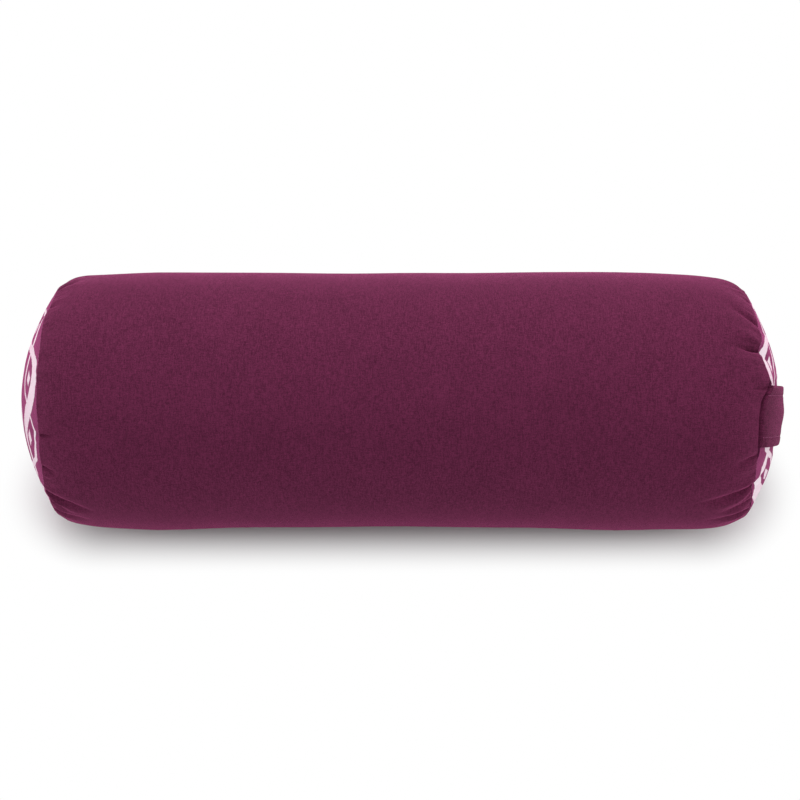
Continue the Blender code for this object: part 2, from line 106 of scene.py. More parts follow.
camera_data = bpy.data.cameras.new("camera")
camera_data.lens = LENS
camera_data.sensor_width = SENSOR
camera = bpy.data.objects.new("camera", camera_data)
bpy.context.scene.collection.objects.link(camera)
towards_camera = Vector((0, -math.cos(CAMERA_ELEVATION), math.sin(CAMERA_ELEVATION)))
camera.location = Vector((0, 0, AXIS_HEIGHT)) + CAMERA_DISTANCE * towards_camera
camera.rotation_euler = (math.pi / 2 - CAMERA_ELEVATION, 0, 0)
bpy.context.scene.camera = camera
bpy.context.scene.view_settings.view_transform = "Standard"
print("camera at", [round(value, 3) for value in camera.location])

# %% [markdown]
# Node materials are easier to read when each node takes one line. These helpers add a node, set
# its options, and fill each input with a value or with another node's output. Such an output
# is kept as a Flow, on which sums are written as on a number, and each makes a Math node.

# %% Node helpers
class Flow:
    """What comes out of one node of a tree."""

    def __init__(self, tree, socket):
        self.tree, self.socket = tree, socket

    def math(self, operation, *values):
        inputs = dict(enumerate((self, *values)))
        return flow(self.tree, "Math", inputs, operation=operation)

    def __add__(self, other):
        return self.math("ADD", other)

    def __sub__(self, other):
        return self.math("SUBTRACT", other)

    def __rsub__(self, number):
        return self.math("MULTIPLY_ADD", -1.0, number)

    def __mul__(self, other):
        return self.math("MULTIPLY", other)

    def __pow__(self, power):
        return self.math("POWER", power)

    def __abs__(self):
        return self.math("ABSOLUTE")

    def between(self, low, high, new_low=0.0, new_high=1.0):
        """Mapped smoothly from one range to another, and held at its ends."""
        inputs = dict(enumerate((self, low, high, new_low, new_high)))
        return flow(self.tree, "MapRange", inputs, interpolation_type="SMOOTHSTEP")


def fill(tree, node, inputs):
    for name, value in inputs.items():
        if isinstance(value, Flow):
            tree.links.new(value.socket, node.inputs[name])
        else:
            node.inputs[name].default_value = value


def add_node(tree, kind, inputs=(), **options):
    node = tree.nodes.new(f"ShaderNode{kind}")
    for option, value in options.items():
        setattr(node, option, value)
    fill(tree, node, dict(inputs))
    return node


def flow(tree, kind, inputs=(), output=0, **options):
    return Flow(tree, add_node(tree, kind, inputs, **options).outputs[output])


# %% [markdown]
# The rest of the helpers name the few node set-ups that come back in most of the finishes: a
# place in the object or on the flat cloth, its parts, a noise, a mix and a bump.

# %% Finish helpers
def new_material(name):
    material = bpy.data.materials.new(name)
    material.use_nodes = True
    return material, material.node_tree, material.node_tree.nodes["Principled BSDF"]


def object_place(tree):
    return flow(tree, "TexCoord", output="Object")


def cloth_place(tree):
    """A place on the flat cloth, in metres, from the piece's own UV map."""
    return flow(tree, "UVMap", uv_map="cloth")


def parts_of(place):
    node = add_node(place.tree, "SeparateXYZ", {0: place})
    return [Flow(place.tree, socket) for socket in node.outputs]


def clouds(place, scale, detail=2.0, roughness=0.5, output="Fac"):
    inputs = {"Vector": place, "Scale": scale, "Detail": detail, "Roughness": roughness}
    return flow(place.tree, "TexNoise", inputs, output)


def either(over, first, second):
    """The first value where over is 0, and the second where it is 1."""
    return flow(over.tree, "Mix", {0: over, 2: first, 3: second})


def mixed(share, first, second):
    """A colour between two others."""
    return flow(share.tree, "Mix", {0: share, 6: first, 7: second}, 2, data_type="RGBA")


def bumps(height, strength, distance, invert=False):
    inputs = {"Height": height, "Strength": strength, "Distance": distance}
    return flow(height.tree, "Bump", inputs, invert=invert)


def seen_directly(tree):
    """1 for rays from the camera, or sent on by gloss or glass, and 0 for light that bounces."""
    rays = add_node(tree, "LightPath").outputs
    camera_ray, glossy_ray, through_ray = (
        Flow(tree, rays[f"Is {kind} Ray"]) for kind in ("Camera", "Glossy", "Transmission")
    )
    return camera_ray.math("MAXIMUM", glossy_ray).math("MAXIMUM", through_ray)


# %% [markdown]
# The studio is a white sweep. The floor takes the bolster's shadow close to it, and fades into
# plain white further out, as a lit paper roll does in a product picture. Only what the camera
# sees is changed: light that bounces off the floor comes from a plain pale diffuse one.

# %% Floor
FLOOR_SIDE = 12.0
FLOOR_DROP = 0.0004
SHADOW_HALF_LENGTH = 0.262
SHADOW_START = 0.053
SHADOW_END = 0.110
SHADOWED_GREY = (0.80, 0.80, 0.80, 1)
BOUNCING_GREY = (0.86, 0.86, 0.86, 1)
WHITE = (1, 1, 1, 1)

bpy.ops.object.select_all(action="DESELECT")
bpy.ops.mesh.primitive_plane_add(size=FLOOR_SIDE, location=(0, 0, -FLOOR_DROP))
floor = bpy.context.active_object
floor.name = "floor"

floor_paper, tree, shader = new_material("white_sweep")
tree.nodes.remove(shader)
x, y, _ = parts_of(object_place(tree))
past_end = (abs(x) - SHADOW_HALF_LENGTH).math("MAXIMUM", 0.0)
away = (past_end**2 + y**2).math("SQRT")
near_paper = flow(tree, "BsdfDiffuse", {"Color": SHADOWED_GREY})
far_paper = flow(tree, "Emission", {"Color": WHITE, "Strength": 1.0})
shares = {0: away.between(SHADOW_START, SHADOW_END), 1: near_paper, 2: far_paper}
sweep = flow(tree, "MixShader", shares)
bounce = flow(tree, "BsdfDiffuse", {"Color": BOUNCING_GREY})
surface = flow(tree, "MixShader", {0: seen_directly(tree), 1: bounce, 2: sweep})
fill(tree, tree.nodes["Material Output"], {"Surface": surface})
floor.data.materials.append(floor_paper)
print("floor", FLOOR_SIDE, "m square,", len(tree.nodes), "nodes in its paper")

# %% [markdown]
# One big soft lamp hangs above and a little behind, so that the top of the tube is lightest and
# the side that faces the camera falls off gently. A softbox on each side lights the two round
# ends, and the white surroundings fill the rest.

# %% Light
WORLD_LIGHT = 0.60

world = bpy.data.worlds.new("studio")
bpy.context.scene.world = world
world.use_nodes = True
tree = world.node_tree
strength = seen_directly(tree).between(0.0, 1.0, WORLD_LIGHT, 1.0)
fill(tree, tree.nodes["Background"], {"Color": WHITE, "Strength": strength})


def hang_softbox(name, way, distance, size, power):
    """A square lamp some way off from the bolster, turned to face it."""
    data = bpy.data.lights.new(name, "AREA")
    data.size = size
    data.energy = power
    box = bpy.data.objects.new(name, data)
    bpy.context.scene.collection.objects.link(box)
    way = Vector(way).normalized()
    box.location = Vector((0, 0, AXIS_HEIGHT)) + distance * way
    box.rotation_euler = way.to_track_quat("Z", "Y").to_euler()
    print(name, "at", [round(value, 2) for value in box.location])


hang_softbox("overhead", way=(-0.06, 0.47, 0.88), distance=2.2, size=1.3, power=25)
hang_softbox("left_side", way=(-0.93, -0.12, 0.35), distance=2.0, size=1.0, power=7.5)
hang_softbox("right_side", way=(0.93, -0.12, 0.35), distance=2.0, size=1.0, power=10)

# %% [markdown]
# The cloth is a plain-woven cotton, dyed plum. Its yarns are spun unevenly, so each has its own
# tone, which changes along its length. The pattern reads a UV map in metres that is laid on the
# flat cloth before it is shaped, so the weave follows every fold. Warp and weft tones are two
# stretched noises, and a checker says which yarn lies on top.

# %% Plain weave
YARN_PITCH = 0.00055
YARN_STREAK = 0.10  # how often a yarn's tone changes along it, in each pitch
YARN_UNLIKE = 0.73  # how unlike two yarns side by side are
FLECKS = 0.20  # the weight of the small slubs in the tone
SHADES = 0.09  # the weight of the broad shades in it


def ridges(side, pitch):
    """A row of round ridges, one in each pitch."""
    return abs((side * (math.pi / pitch)).math("SINE"))


def weave(tree, pitch, light, dark):
    """Colour and height of a plain weave, and the place on the cloth that they read."""
    place = cloth_place(tree)
    sides = parts_of(place)
    heights, tones = [], []
    for across, along in ((0, 1), (1, 0)):
        heights.append(ridges(sides[across], pitch))
        yarn = (sides[across] * (1 / pitch)).math("FLOOR") * YARN_UNLIKE
        streak = sides[along] * (YARN_STREAK / pitch)
        spot = flow(tree, "CombineXYZ", {0: yarn, 1: streak, 2: 3.7 * across})
        tones.append(clouds(spot, 1.0, detail=3.0, roughness=0.85))
    over = flow(tree, "TexChecker", {"Vector": place, "Scale": 1.0 / pitch}, "Fac")
    flecks = (clouds(place, 0.90 / pitch, detail=1.0) - 0.5) * FLECKS
    shades = (clouds(place, 24.0, detail=3.0, roughness=0.6) - 0.5) * SHADES
    tone = either(over, *tones) + flecks + shades
    return mixed(tone.between(0.33, 0.67), dark, light), either(over, *heights), place


print(round(0.01 / YARN_PITCH), "yarns in a centimetre each way")

# %% [markdown]
# Cotton is dull, and its loose fibres catch light at a low angle, which is what a sheen does.
# The strap is folded and pressed, so its fuzz is short and shows only at the lowest angles.
# Its yarn tones are the plum's made darker, which paints shade on it.

# %% Woven cotton
PLUM_LIGHT = (0.166, 0.0233, 0.0751, 1)
PLUM_DARK = (0.065, 0.0079, 0.0290, 1)
PLUM_FUZZ = (0.95, 0.15, 0.46, 1)
# The strap is the same plum cotton; its darker tones here are painted shade
STRAP_SHADED_LIGHT = (0.140, 0.0185, 0.0625, 1)
STRAP_SHADED_DARK = (0.050, 0.0057, 0.0222, 1)
COTTON = {
    "Roughness": 0.92,
    "Specular IOR Level": 0.12,
    "Sheen Weight": 0.50,
    "Sheen Roughness": 0.34,
    "Sheen Tint": PLUM_FUZZ,
}
PRESSED = {"Sheen Weight": 0.55, "Sheen Roughness": 0.20}


def cotton_finish(tree, shader, colour, height, changes=()):
    fill(tree, shader, {"Base Color": colour, "Normal": bumps(height, 0.35, 0.0002)})
    fill(tree, shader, {**COTTON, **dict(changes)})


def woven_cotton(name, pitch, light, dark, changes=()):
    material, tree, shader = new_material(name)
    colour, height, _ = weave(tree, pitch, light, dark)
    cotton_finish(tree, shader, colour, height, changes)
    print(name, len(tree.nodes), "nodes")
    return material


plum_cotton = woven_cotton("plum_cotton", YARN_PITCH, PLUM_LIGHT, PLUM_DARK)
strap_shaded_cotton = woven_cotton("strap_shaded_cotton", YARN_PITCH, STRAP_SHADED_LIGHT, STRAP_SHADED_DARK, PRESSED)

# %% [markdown]
# The round panels carry a pale print. The one here is a common interlaced border of two wavy
# bands with a petalled rosette inside, drawn with sines of the angle round the panel's middle.
# A little noise on the place makes its edges as uneven as ink on a coarse cloth.

# %% Print, its parts
INK_EDGE = 0.0003  # half the width of a soft edge
INK_SPREAD = 0.0045  # how far the noise moves the ink
BORDER_RADIUS = 0.079
BORDER_WAVE = 0.0125
BORDER_BAYS = 5


def band(radius, middle, half_width):
    """1 on a band round a changing radius, with a narrow soft edge."""
    return (half_width - abs(radius - middle)).between(-INK_EDGE, INK_EDGE)


def uneven_place(place):
    """(radius, turn) on a panel, where each point is moved a little by a noise."""
    tree = place.tree
    noisy = clouds(place, 110.0, detail=3.0, roughness=0.6, output="Color")
    shift = flow(tree, "VectorMath", {0: noisy, 1: (0.5, 0.5, 0.5)}, operation="SUBTRACT")
    shift = flow(tree, "VectorMath", {0: shift, "Scale": INK_SPREAD}, operation="SCALE")
    x, y, _ = parts_of(flow(tree, "VectorMath", {0: place, 1: shift}, operation="ADD"))
    return (x**2 + y**2).math("SQRT"), y.math("ARCTAN2", x)


def border_parts(radius, turn, phase):
    """Two bands that wave past each other, and an almond in each bay between them."""
    angle = (turn - phase) * BORDER_BAYS
    waves, swells = angle.math("COSINE"), angle.math("SINE")
    # A band is measured along the radius, so it is made wider where it runs aslant
    aslant = (swells * swells * 0.73 + 1.0).math("SQRT")
    broad = band(radius, waves * BORDER_WAVE + BORDER_RADIUS, (swells * 0.0020 + 0.0050) * aslant)
    thin = band(radius, waves * -BORDER_WAVE + BORDER_RADIUS, (swells * -0.0006 + 0.0018) * aslant)
    return broad, thin, band(radius, BORDER_RADIUS, abs(swells) * -0.0095 + 0.0042)


def rosette_parts(radius, turn, phase):
    """The petals' outline, a leaf inside each of them, and a ring round the hub."""
    petal_edge = abs((turn * 4.0 + phase).math("COSINE")) ** 0.6 * 0.026 + 0.026
    leaf = (petal_edge * 0.62 - radius).between(-INK_EDGE, INK_EDGE)
    outside_hub = radius.between(0.0148, 0.0154)
    return band(radius, petal_edge, 0.0022), leaf * outside_hub, band(radius, 0.009, 0.0030)


print("the border waves from", BORDER_RADIUS - BORDER_WAVE, "to", BORDER_RADIUS + BORDER_WAVE, "m")

# %% [markdown]
# The ink lies over the panel's own weave, which is a lighter magenta, and is a little worn. The
# two panels are cut from the cloth at a different turn, so each has a phase of its own.

# %% Printed cotton
PRINT_PALE = (0.90, 0.78, 0.85, 1)
PANEL_LIGHT = (0.26, 0.048, 0.140, 1)
PANEL_DARK = (0.19, 0.032, 0.100, 1)


def printed_cotton(name, phase):
    material, tree, shader = new_material(name)
    colour, height, place = weave(tree, YARN_PITCH, PANEL_LIGHT, PANEL_DARK)
    radius, turn = uneven_place(place)
    ink, *others = border_parts(radius, turn, phase) + rosette_parts(radius, turn, phase)
    for part in others:
        ink = ink.math("MAXIMUM", part)
    ink = ink * clouds(place, 900.0).between(0.25, 0.42, 0.8, 1.0)
    cotton_finish(tree, shader, mixed(ink, colour, PRINT_PALE), height)
    print(name, len(tree.nodes), "nodes")
    return material


right_print = printed_cotton("printed_cotton_right", math.radians(109))
left_print = printed_cotton("printed_cotton_left", math.radians(119))

# %% [markdown]
# Where the tube meets an end panel, more cloth is sewn in than the seam is long, so it puckers.
# Each pucker is a short valley that starts in the seam, leans a little and runs out on the
# shoulder. The ones in view are given in a table for each end, 1 for +X and -1 for -X.

# %% Puckers in view
# turn (degrees), depth (mm), reach (mm), lean along the reach (degrees), half-width (degrees)
SEEN_PUCKERS = {
    1: [
        (76.0, 2.2, 14, -5.0, 1.6),
        (92.8, 5.2, 26, -8.5, 1.7),
        (99.5, 1.2, 14, -4.0, 1.2),
        (107.2, 9.6, 26, 0.5, 1.8),
        (112.0, 1.4, 10, -1.0, 1.0),
        (125.2, 5.0, 14, 1.2, 1.2),
        (140.0, 1.2, 12, 0.5, 1.0),
        (157.6, 4.6, 24, 4.0, 1.3),
        (166.5, 2.0, 18, 4.5, 1.2),
        (175.0, 7.4, 44, 6.0, 1.5),
        (184.5, 2.6, 24, 3.0, 1.2),
        (193.5, 5.0, 34, 2.0, 1.5),
    ],
    -1: [
        (73.5, 2.0, 15, 4.0, 1.3),
        (81.6, 2.4, 18, 4.0, 1.4),
        (97.0, 1.9, 12, 1.0, 1.5),
        (113.4, 2.8, 17, 0.8, 1.9),
        (124.0, 1.6, 12, 0.0, 1.4),
        (149.0, 6.4, 14, -1.2, 1.0),
        (164.8, 5.0, 14, 2.4, 1.3),
        (180.2, 7.0, 36, 8.0, 1.5),
        (187.5, 2.6, 24, 5.0, 1.2),
        (196.0, 5.0, 34, 2.0, 1.6),
    ],
}
print("puckers in view:", {end: len(puckers) for end, puckers in SEEN_PUCKERS.items()})

# %% [markdown]
# The side away from the camera is gathered in the same way, and many fine ticks lie between the
# puckers all round. Both are spread evenly but not regularly, by a series of numbers that is
# the same on every run.

# %% Hidden puckers and ticks
HIDDEN_FROM, HIDDEN_TO, HIDDEN_COUNT = 210, 430, 14
TICK_COUNT = 52


def scatter(number, seed):
    """An even spread of values from -1 to 1, the same on every run."""
    return 2 * ((number * 0.618034 + seed * 0.377) % 1) - 1


def puckers_of(end):
    """Every pucker of one end: in view, hidden, and fine ticks."""
    hidden = []
    for number in range(HIDDEN_COUNT):
        step = (HIDDEN_TO - HIDDEN_FROM) / HIDDEN_COUNT
        middle = HIDDEN_FROM + step * (number + 0.5 + 0.28 * scatter(number, 3 + end))
        depth = 4.2 + 2.4 * scatter(number, 5 + end)
        reach = 26 + 10 * scatter(number, 7 + end)
        hidden.append((middle % 360, depth, reach, 5.0 * scatter(number, 9 + end), 1.5))
    ticks = []
    for number in range(TICK_COUNT):
        middle = 360 / TICK_COUNT * (number + 0.4 * scatter(number, 11 + end))
        depth = 0.55 + 0.35 * scatter(number, 13 + end)
        reach = 10 + 5 * scatter(number, 15 + end)
        ticks.append((middle, depth, reach, 1.5 * scatter(number, 17 + end), 0.8))
    return SEEN_PUCKERS[end] + hidden + ticks


for end in (1, -1):
    print(f"end {end:+d}: {len(puckers_of(end))} puckers")

# %% [markdown]
# One pucker is a sharp valley with a low bulge on each side, where the cloth that it takes is
# pushed up. It widens and fades as it runs out over the shoulder. The tube and the panel read
# the same function, so their puckers meet in the seam.

# %% Depth of the puckers
START_LENGTH = 0.0025  # how soon a pucker reaches its depth past the seam
WIDTH_AT_SEAM, WIDENING = 0.75, 1.5
BULGE_SHARE, BULGE_PLACE, BULGE_WIDTH = 0.30, 2.3, 1.2  # the last two in half-widths


def degrees_apart(turn, other):
    return (turn - other + 180) % 360 - 180


def pucker_depth(end, turn, inward, share_at_seam):
    """How deep the cloth lies at a turn, some way in from the seam, in metres."""
    depth = np.zeros_like(turn)
    inward = np.maximum(inward, 0)
    start = share_at_seam + (1 - share_at_seam) * (1 - np.exp(-inward / START_LENGTH))
    for middle, deepest, reach, lean, width in puckers_of(end):
        run = inward * 1000 / reach
        width = width * (WIDTH_AT_SEAM + WIDENING * run)
        off = np.abs(degrees_apart(turn, middle + lean * run)) / width
        bulge = BULGE_SHARE * np.exp(-(((off - BULGE_PLACE) / BULGE_WIDTH) ** 2))
        fade = np.exp(-(run**1.5) * 1.3)
        depth += deepest / 1000 * (np.exp(-(off**1.35)) - bulge) * start * fade
    return depth


one_pucker = pucker_depth(1, np.array([175.0]), np.array([0.006]), 0.0)
print(f"cloth at 175 degrees on the right, 6 mm in: {1000 * one_pucker[0]:.1f} mm deep")

# %% [markdown]
# The ring seam itself wanders: it is drawn in at a deep pucker and at the thick strap, and
# bulges between them. Its place is needed for the tube, the panels, the strap and the thread,
# so it is one function of the turn. Two tables give how far it stands out along X, and how far
# it is blown out past its mean radius.

# %% Ring seams
# turn (degrees), how far the seam stands out past its mean place (mm)
SEAM_WAVES = {
    1: [
        (0, -1.0), (24, 1.0), (41, -1.2), (58, 0.8), (75, -0.6), (88, 0.5), (93, 0.2), (100, 2.0),
        (107, -2.8), (112, 0.2), (121, 4.8), (126, 2.6), (131, -2.6), (139, -4.2), (150, -3.8),
        (157, -3.2), (166, -3.0), (171, -2.4), (176, -4.2), (185, -2.0), (192, -0.4), (205, 0.8),
        (220, -1.0), (237, 0.8), (255, -1.2), (272, 0.4), (288, -2.6), (320, -2.8), (335, 0.4),
    ],
    -1: [
        (0, -0.6), (28, 0.6), (57, -1.2), (72, -3.0), (81, -2.5), (89, -0.6), (97, -0.2),
        (107, -1.0), (120, -0.3), (136, -0.5), (149, -1.8), (157, -0.4), (165, -1.0), (174, -0.1),
        (180, 0.6), (187, -1.0), (202, -0.3), (220, 0.8), (240, -0.9), (262, 0.7), (285, -0.8),
        (310, 0.7), (335, -0.5),
    ],
}
# turn (degrees), how far the seam is blown out past its mean radius (mm)
SEAM_SWELLS = {
    1: [
        (20, 1.0), (60, 0.6), (110, 0.3), (122, 0), (160, 0), (172, 1.5), (195, 3.4), (225, 3.6),
        (262, 1.5), (284, 0), (322, 0), (340, 0.6),
    ],
    -1: [
        (20, 1.0), (55, 1.8), (95, 0.8), (132, 0), (165, 1.2), (195, 2.6), (230, 2.6), (262, 1.2),
        (300, 0.5), (340, 0.5),
    ],
}
SEAM_PUCKER_SHARE = 0.25  # of a pucker's depth, how much it has in the seam itself

# How the seam allowance lies between the tube and the panel, as (x, radius) ways
TUBE_NORMAL = Vector((SHOULDER_POWER * (TUBE_RADIUS - SEAM_RADIUS) / SHOULDER, 1.0)).normalized()
DOME_NORMAL = Vector((1.0, 2 * CROWN / SEAM_RADIUS)).normalized()
SEAM_IN = -(TUBE_NORMAL + DOME_NORMAL).normalized()
SEAM_ACROSS = Vector((-SEAM_IN.y, SEAM_IN.x))


def seam_wave(end, turn):
    """How far the seam stands out past its mean place, in metres, smoothed over a few degrees."""
    steps = np.arange(720) / 2
    places, offsets = zip(*SEAM_WAVES[end])
    line = np.interp(steps, places, offsets, period=360)
    window = np.hanning(13)
    line = np.convolve(np.tile(line, 3), window / window.sum(), "same")[720:1440]
    return np.interp(turn % 360, steps, line, period=360) / 1000


def seam_at(end, turn):
    """(x, radius) of the ring seam at a turn, with x counted outwards from the middle."""
    places, swells = zip(*SEAM_SWELLS[end])
    swell = np.interp(turn % 360, places, swells, period=360) / 1000
    dip = pucker_depth(end, turn, np.zeros_like(turn), SEAM_PUCKER_SHARE)
    return SEAM_X + seam_wave(end, turn), SEAM_RADIUS + swell - dip


whole_turn = np.arange(360.0)
for end in (1, -1):
    out, _ = seam_at(end, whole_turn)
    print(f"seam {end:+d} wanders {1000 * np.ptp(out):.1f} mm along the bolster")

# %% [markdown]
# Meshes are shaped in two ways here. A primitive is cut and extruded in edit mode with only the
# right edges or faces selected, and then its points are moved as one array, which is quick on
# a fine mesh.

# %% Mesh helpers
def take_alone(obj):
    bpy.ops.object.select_all(action="DESELECT")
    bpy.context.view_layer.objects.active = obj
    obj.select_set(True)


def take_new(name):
    """The primitive that was just added, under a name of its own, with its place in its mesh."""
    obj = bpy.context.active_object
    obj.name = obj.data.name = name
    bpy.ops.object.transform_apply(location=True, rotation=True, scale=True)
    return obj


def points_of(obj):
    points = np.empty(len(obj.data.vertices) * 3)
    obj.data.vertices.foreach_get("co", points)
    return points.reshape(-1, 3)


def move_points(obj, points):
    obj.data.vertices.foreach_set("co", np.asarray(points, float).ravel())
    obj.data.update()


def edge_ends(obj):
    """The numbers of the two points of each edge."""
    ends = np.empty(len(obj.data.edges) * 2, int)
    obj.data.edges.foreach_get("vertices", ends)
    return ends.reshape(-1, 2)


def pick(obj, kind, chosen):
    """Opens a mesh for editing, with only the chosen edges or faces selected."""
    take_alone(obj)
    bpy.ops.object.mode_set(mode="EDIT")
    bpy.ops.mesh.select_mode(type=kind)
    bpy.ops.mesh.select_all(action="DESELECT")
    bpy.ops.object.mode_set(mode="OBJECT")
    for part in obj.data.edges if kind == "EDGE" else obj.data.polygons:
        part.select = bool(chosen[part.index])
    bpy.ops.object.mode_set(mode="EDIT")


def cut_along(obj, longer_than, cuts):
    """Cuts each edge that runs further along X than a given length into equal parts."""
    x = points_of(obj)[:, 0][edge_ends(obj)]
    pick(obj, "EDGE", np.ptp(x, axis=1) > longer_than)
    bpy.ops.mesh.subdivide(number_cuts=cuts)
    bpy.ops.object.mode_set(mode="OBJECT")


def apply_modifiers(obj):
    bpy.context.view_layer.objects.active = obj
    for modifier in list(obj.modifiers):
        bpy.ops.object.modifier_apply(modifier=modifier.name)


def triangles(obj):
    return sum(len(face.vertices) - 2 for face in obj.data.polygons)


# %% [markdown]
# A place on the bolster is easier to work on as a turn and a radius than as Y and Z, and each
# cloth needs a UV map that says where its points lay before it was shaped.

# %% Places and cloth maps
FULL_WRAP = 2 * math.pi * TUBE_RADIUS
print("the cover's cloth is", round(FULL_WRAP, 3), "m round")


def turn_and_radius(points):
    y, z = points[:, 1], points[:, 2] - AXIS_HEIGHT
    return np.degrees(np.arctan2(z, y)), np.hypot(y, z)


def at_turn(x, radius, turn):
    angle = np.radians(turn)
    return np.stack([x, radius * np.cos(angle), AXIS_HEIGHT + radius * np.sin(angle)], axis=1)


def run_along(points):
    """How far each point of a line lies along it."""
    steps = np.linalg.norm(np.diff(points, axis=0), axis=1)
    return np.concatenate([[0], np.cumsum(steps)])


def eased(share):
    """A share from 0 to 1 that starts and stops gently."""
    return share * share * (3 - 2 * share)


def write_cloth_map(obj, across, along, wrap=None):
    """A UV map in metres from two values for each point. Where across wraps round the bolster,
    wrap is what it grows by in a full turn."""
    mesh = obj.data
    corner = np.empty(len(mesh.loops), int)
    mesh.loops.foreach_get("vertex_index", corner)
    first, second = across[corner], along[corner]
    if wrap:
        for face in mesh.polygons:
            span = slice(face.loop_start, face.loop_start + face.loop_total)
            if np.ptp(first[span]) > wrap / 2:
                first[span] = np.where(first[span] > wrap / 2, first[span] - wrap, first[span])
    layer = mesh.uv_layers.new(name="cloth")
    layer.data.foreach_set("uv", np.stack([first, second], axis=1).astype(np.float32).ravel())


def open_tube(name, columns, radius, length):
    """An open cylinder on the bolster's axis."""
    bpy.ops.object.select_all(action="DESELECT")
    bpy.ops.mesh.primitive_cylinder_add(
        vertices=columns,
        radius=radius,
        depth=length,
        end_fill_type="NOTHING",
        location=(0, 0, AXIS_HEIGHT),
        rotation=(0, math.pi / 2, 0),
    )
    return take_new(name)


# %% [markdown]
# The tube starts as an open cylinder, cut into many short rows near the seams, where the cloth
# is worked hard, and a few long ones in the middle.

# %% Cover tube, flat cloth
TUBE_COLUMNS = 432
MIDDLE_ROWS = 20
SHOULDER_ROWS = 42
ROW_CROWDING = 1.3  # above 1, the rows lie closer together towards the seam

cover = open_tube("cover_cloth", TUBE_COLUMNS, TUBE_RADIUS, 2 * SEAM_X)
tube_rows = MIDDLE_ROWS + 2 * SHOULDER_ROWS
cut_along(cover, SEAM_X, 1)
cut_along(cover, SEAM_X / 2, tube_rows // 2 - 1)
row = np.rint((points_of(cover)[:, 0] + SEAM_X) / (2 * SEAM_X) * tube_rows).astype(int)
crowded = (np.arange(SHOULDER_ROWS) / SHOULDER_ROWS) ** ROW_CROWDING
half_places = np.concatenate([
    SEAM_X - (SEAM_X - SLOT_END) * crowded,
    np.linspace(SLOT_END, 0, MIDDLE_ROWS // 2 + 1),
])
row_places = np.concatenate([-half_places, half_places[:-1][::-1]])
flat_x = row_places[row]
print("tube points", len(cover.data.vertices), "in", len(row_places), "rings")

# %% [markdown]
# The columns near the zip are eased apart until one lies on each edge of its slot, so that the
# slot can be opened later by deleting whole faces. The UV map is laid now, while the cloth is
# still flat.

# %% Cover tube, columns and cloth map
COLUMN_STEP = 360 / TUBE_COLUMNS
SLOT_COLUMNS = 3  # from the middle of the slot to its edge
EASED_COLUMNS = 12

slot_edge = math.degrees(SLOT_HALF_WIDTH / ZIP_PLANE)
from_zip = degrees_apart(turn_and_radius(points_of(cover))[0], math.degrees(ZIP_TURN))
column = np.rint(from_zip / COLUMN_STEP)
away = np.abs(column)
ease = np.minimum(away / SLOT_COLUMNS, (EASED_COLUMNS - away) / (EASED_COLUMNS - SLOT_COLUMNS))
widened = np.clip(ease, 0, 1) * (slot_edge - SLOT_COLUMNS * COLUMN_STEP)
column_turn = np.sign(column) * (away * COLUMN_STEP + widened)
flat_turn = math.degrees(ZIP_TURN) + column_turn
write_cloth_map(cover, np.radians(column_turn % 360) * TUBE_RADIUS, flat_x, wrap=FULL_WRAP)
print("slot edge at", round(slot_edge, 2), "degrees")

# %% [markdown]
# Then each point is moved: the shoulders draw in, the puckers sink, the underside is pressed
# flat on the floor and the back is pulled flat along the zip. A few soft spots and a slow drift
# keep the roll from looking turned on a lathe.

# %% Cover tube, shape
# place along X, turn (degrees), height (mm), reach along X (mm): where use has changed the roll
SOFT_SPOTS = [
    (-0.045, None, -0.9, 100),
    (0.190, 222, 2.2, 60),
    (-0.205, 222, 2.2, 50),
    (-0.262, 42, -2.6, 34),
    (0.245, 42, -1.2, 40),
]
WAVE_FADE = 0.022  # how far in from the seam its wave is felt
DRIFT_HEIGHT, DRIFT_SCALE, DRIFT_FROM_SEAM = 0.0006, 14, 0.012


def soft_spots(x, turn):
    height = np.zeros_like(x)
    for place, middle, most, reach in SOFT_SPOTS:
        round_it = 1 if middle is None else np.clip(np.cos(np.radians(turn - middle)), 0, 1) ** 2
        height += most / 1000 * round_it * np.exp(-(((x - place) * 1000 / reach) ** 2))
    return height


def tube_shape(x, turn):
    """The tube's surface over a point of the straight cylinder."""
    end = np.where(x > 0, 1, -1)
    inward = SEAM_X - np.abs(x)
    share = np.clip(1 - inward / SHOULDER, 0, 1)
    radius = TUBE_RADIUS + soft_spots(x, turn) * (1 - share**2)
    for side in (1, -1):
        here = end == side
        _, seam_radius = seam_at(side, turn[here])
        at_seam = pucker_depth(side, turn[here], np.zeros(here.sum()), SEAM_PUCKER_SHARE)
        drop = TUBE_RADIUS - seam_radius - at_seam
        radius[here] -= drop * share[here] ** SHOULDER_POWER
        radius[here] -= pucker_depth(side, turn[here], inward[here], SEAM_PUCKER_SHARE)
        x = np.where(here, x + side * seam_wave(side, turn) * np.exp(-inward / WAVE_FADE), x)
    return x, radius


def pressed(points, depth=0.0):
    """Points pressed flat on the floor and along the zip, for a skin that lies depth inside."""
    x, y, z = points.T
    z = np.maximum(z, depth)
    out_y, out_z = math.cos(ZIP_TURN), math.sin(ZIP_TURN)
    proud = np.maximum(y * out_y + (z - AXIS_HEIGHT) * out_z - (ZIP_PLANE - depth), 0)
    return np.stack([x, y - proud * out_y, z - proud * out_z], axis=1)


shaped_x, shaped_radius = tube_shape(flat_x, flat_turn)
smooth_roll = at_turn(shaped_x, shaped_radius, flat_turn)
drift = np.array([noise.noise(Vector(point) * DRIFT_SCALE) for point in smooth_roll])
drift *= 1 - np.exp(-(SEAM_X - np.abs(flat_x)) / DRIFT_FROM_SEAM)
shaped = pressed(at_turn(shaped_x, shaped_radius + DRIFT_HEIGHT * drift, flat_turn))
move_points(cover, shaped)
print("tube, mm:", np.round(np.ptp(shaped, axis=0) * 1000, 1))

